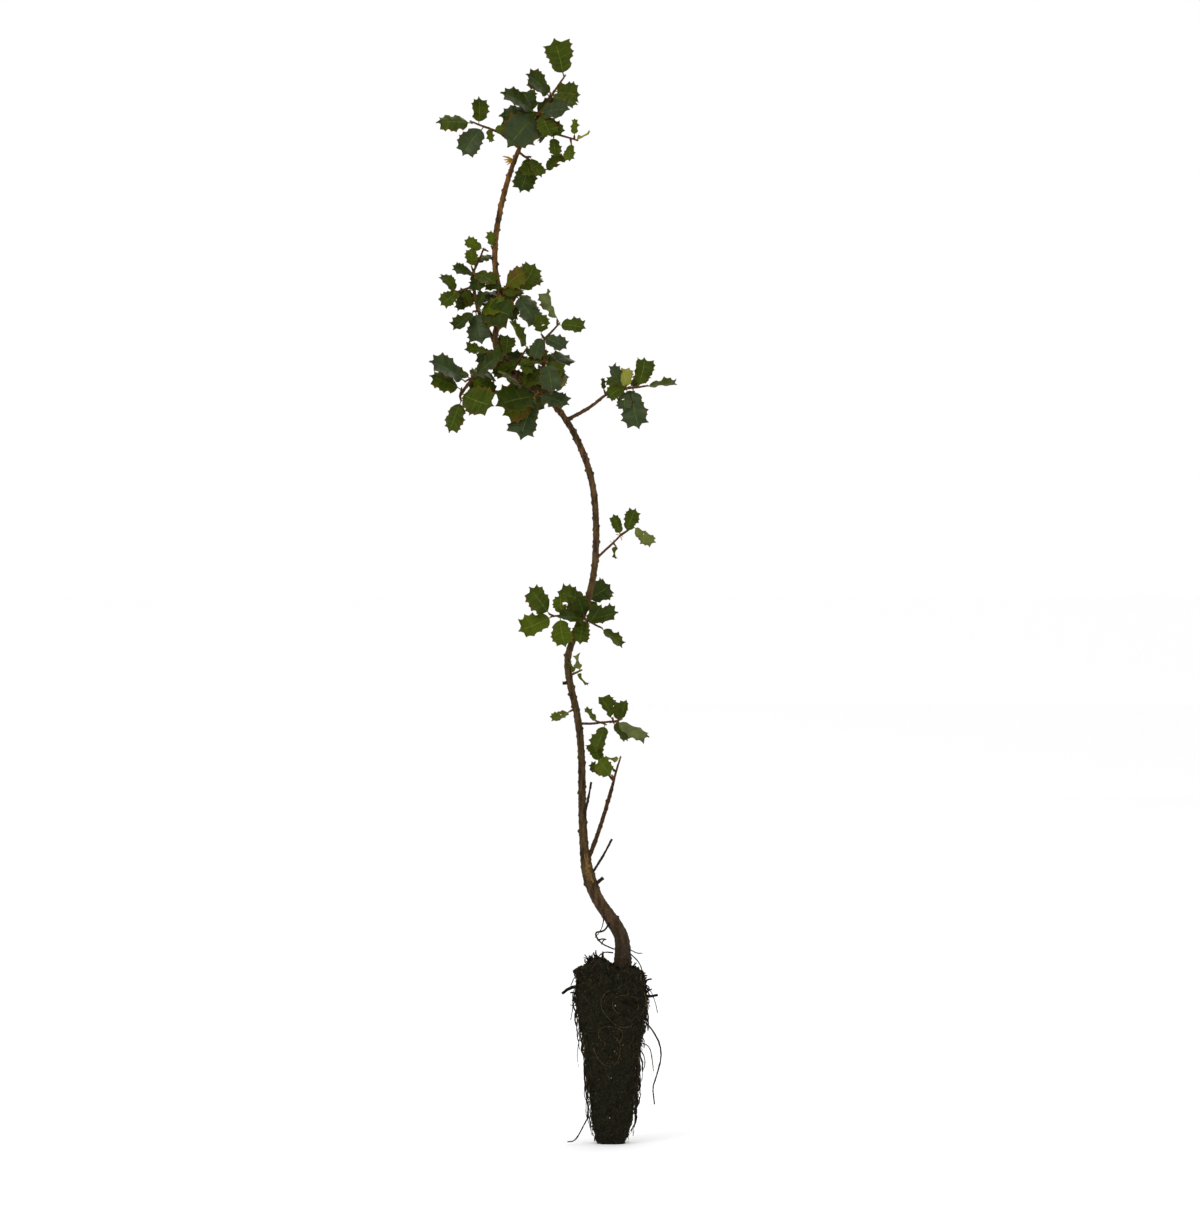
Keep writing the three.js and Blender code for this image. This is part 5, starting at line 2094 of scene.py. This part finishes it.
    def curled_roots(self) -> list[Thread]:
        """Grows the long roots that curl in rings over the ball's front.

        Returns:
            Their lines and radii.
        """
        chance = Chance(self.seed + 2)
        threads = []
        for _ in range(self.curls):
            angle = -math.pi / 2 + chance.spread(0.55)
            height = chance.between(*self.curl_heights)
            radius = chance.between(*self.curl_reach)
            first, arc = chance.between(0, math.tau), chance.between(3.0, 5.6)
            points = []
            for i in range(26):
                turn = first + arc * i / 25
                reach = radius * (1 + 0.14 * math.sin(turn * 2.3 + first))
                over = reach * math.cos(turn) / self.half(min(height, self.rim))
                points.append(self.on_skin(
                    angle + over, height + reach * math.sin(turn), 0.7 + 0.3 * math.sin(i)))
            threads.append((points, *self.curl_radii))
        return threads

    def build(self, surface: GrownSurface) -> None:
        """Makes the pieces.

        Args:
            surface: the shader group of the finishes.
        """
        mesh = outward(self.skin().mesh("peat_ball"))
        mesh.materials.append(PEAT.material(surface))
        self.strew(mesh, surface)
        piece("peat_ball", mesh, PEAT.slot, ("root_ball",))
        tubes = TubeTree()
        fine = self.clinging_roots() + self.hanging_roots()
        pale = fine[::9] + self.curled_roots()
        dark = [thread for number, thread in enumerate(fine) if number % 9]
        for name, threads, finish in (
            ("fine_roots", dark, FINE_ROOT), ("tan_roots", pale, TAN_ROOT),
            ("broken_roots", self.broken_roots(), ROOT_BARK),
        ):
            roots = grown(name, thread_mesh(f"{name}_lines", threads), tubes, {
                "Sides": 5, "Step": 0.0012, "Roughness Height": 0.0011, "Roughness Scale": 600.0,
                "Bark": finish.material(surface)})
            piece(name, roots, finish.slot)
        stout = grown("stout_roots", thread_mesh("root_lines", [
            (rounded(walk(Vector(start), courses), 2), radius, radius * 0.65)
            for start, radius, courses in (*ROOTS.values(), *WIRES)
        ]), tubes, {
            "Sides": 10, "Step": 0.001, "Roughness Height": 0.0008, "Roughness Scale": 450.0,
            "Bark": ROOT_BARK.material(surface)})
        piece("stout_roots", stout, ROOT_BARK.slot, tuple(ROOTS))

    def strew(self, mesh: bpy.types.Mesh, surface: GrownSurface) -> None:
        """Strews the ball with crumbs of peat, pale specks and bits of wood.

        Args:
            mesh: the ball's skin.
            surface: the shader group of the finishes.
        """
        crumbs = shelf("crumb_kind", [crumb_mesh(seed) for seed in range(4)])
        scatter = ScatterTree()
        for name, finish, lowest, density, smallest, largest, seed in (
            ("peat_crumbs", PEAT_CRUMB, 0.003, 130000.0, 0.0004, 0.0013, 4),
            ("peat_clods", PEAT_CRUMB, 0.006, 8000.0, 0.0012, 0.0022, 5),
            ("top_clods", PEAT_CRUMB, 0.152, 16000.0, 0.0014, 0.0032, 6),
            ("pale_specks", PALE_SPECK, 0.01, 1800.0, 0.0003, 0.0008, 8),
            ("wood_bits", WOOD_BIT, 0.15, 8000.0, 0.0008, 0.0021, 12),
        ):
            strewn = grown(name, mesh, scatter, {
                "Kinds": crumbs, "Lowest": lowest, "Highest": 0.2, "Density": density,
                "Smallest": smallest, "Largest": largest, "Seed": seed,
                "Finish": finish.material(surface)})
            piece(name, strewn, PEAT.slot)
        clear_shelf(crumbs)


def crumb_mesh(seed: int) -> bpy.types.Mesh:
    """Makes an angular crumb about a metre across, to be scaled down.

    Args:
        seed: the seed of its shape.

    Returns:
        The crumb.
    """
    shell = bmesh.new()
    bmesh.ops.create_icosphere(shell, subdivisions=1, radius=1.0)
    chance = Chance(seed + 300)
    squash = Vector((chance.between(0.6, 1.2), chance.between(0.6, 1.2), chance.between(0.4, 0.9)))
    for corner in shell.verts:
        corner.co *= chance.between(0.7, 1.25)
        corner.co = Vector(a * b for a, b in zip(corner.co, squash))
    mesh = bpy.data.meshes.new(f"crumb_{seed}")
    shell.to_mesh(mesh)
    shell.free()
    return mesh


# ---- floor, light and camera


@dataclass
class Studio:
    """A plain pale floor and backdrop, soft light and a level camera with a long lens."""

    centre: tuple[float, float] = (-0.0105, 0.5016)  # across and up, what the view is centred on
    view_width: float = 1.14
    distance: float = 5.0
    sensor: float = 36.0
    aim: float = 0.6  # the height that the lamps face
    lamps: tuple[tuple, ...] = (  # each lamp's name, place, size and power
        ("key", (-1.6, -2.4, 2.6), 1.6, 34.0),
        ("fill", (2.4, -2.0, 1.2), 2.2, 10.0),
        ("back", (0.6, 2.2, 2.4), 2.0, 16.0),
    )
    floor_half: float = 7.0
    floor_front: float = -6.0
    floor_back: float = 3.0  # where the floor starts to sweep up
    sweep: float = 1.5  # the radius of the sweep
    backdrop: float = 6.0  # how high the backdrop goes
    white: float = 0.93

    def build(self) -> None:
        """Makes the floor, the lights and the camera."""
        self.floor()
        for lamp in self.lamps:
            self.light(*lamp)
        world = bpy.data.worlds.new("studio_world")
        world.use_nodes = True
        world.node_tree.nodes["Background"].inputs["Color"].default_value = (1, 1, 1, 1)
        world.node_tree.nodes["Background"].inputs["Strength"].default_value = 1.0
        bpy.context.scene.world = world
        bpy.context.scene.view_settings.view_transform = "Standard"
        camera = shown("camera", bpy.data.cameras.new("camera"))
        camera.data.sensor_fit = "HORIZONTAL"
        camera.data.sensor_width = self.sensor
        camera.data.lens = self.sensor * self.distance / self.view_width
        camera.location = (self.centre[0], -self.distance, self.centre[1])
        camera.rotation_euler = (math.radians(90), 0, 0)
        camera.data.clip_end = 50
        bpy.context.scene.camera = camera

    def floor(self) -> None:
        """Makes the floor, swept up into a backdrop far behind the plant."""
        profile = [(self.floor_front, 0.0), (self.floor_back, 0.0)]
        for degrees in range(10, 91, 10):
            turn = math.radians(degrees)
            profile.append((
                self.floor_back + self.sweep * math.sin(turn),
                self.sweep - self.sweep * math.cos(turn),
            ))
        profile.append((self.floor_back + self.sweep, self.backdrop))
        corners = [(x, y, z) for y, z in profile for x in (-self.floor_half, self.floor_half)]
        faces = [(2 * i, 2 * i + 1, 2 * i + 3, 2 * i + 2) for i in range(len(profile) - 1)]
        mesh = bpy.data.meshes.new("studio_floor")
        mesh.from_pydata(corners, [], faces)
        material = bpy.data.materials.new("studio_floor")
        material.use_nodes = True
        shader = material.node_tree.nodes["Principled BSDF"]
        shader.inputs["Base Color"].default_value = (self.white, self.white, self.white, 1)
        shader.inputs["Roughness"].default_value = 0.9
        shader.inputs["Specular IOR Level"].default_value = 0.1
        mesh.materials.append(material)
        floor = shown("studio_floor", mesh)

    def light(self, name: str, place: tuple[float, float, float], size: float, power: float
              ) -> None:
        """Makes a soft square lamp that faces the middle of the plant."""
        lamp = bpy.data.lights.new(name, "AREA")
        lamp.shape, lamp.size, lamp.energy = "SQUARE", size, power
        thing = shown(name, lamp)
        thing.location = place
        aim = Vector((self.centre[0], 0.0, self.aim)) - Vector(place)
        thing.rotation_euler = aim.to_track_quat("-Z", "Y").to_euler()


def main() -> None:
    """Builds the plant and its studio."""
    logging.basicConfig(level=logging.INFO, format="%(name)s %(message)s")
    surface = GrownSurface()
    Studio().build()
    limbs = grow_limbs()
    Wood().build(limbs, surface)
    crown = Crown()
    crown.grow(limbs)
    crown.build(surface)
    RootBall().build(surface)


if __name__ == "__main__":
    main()
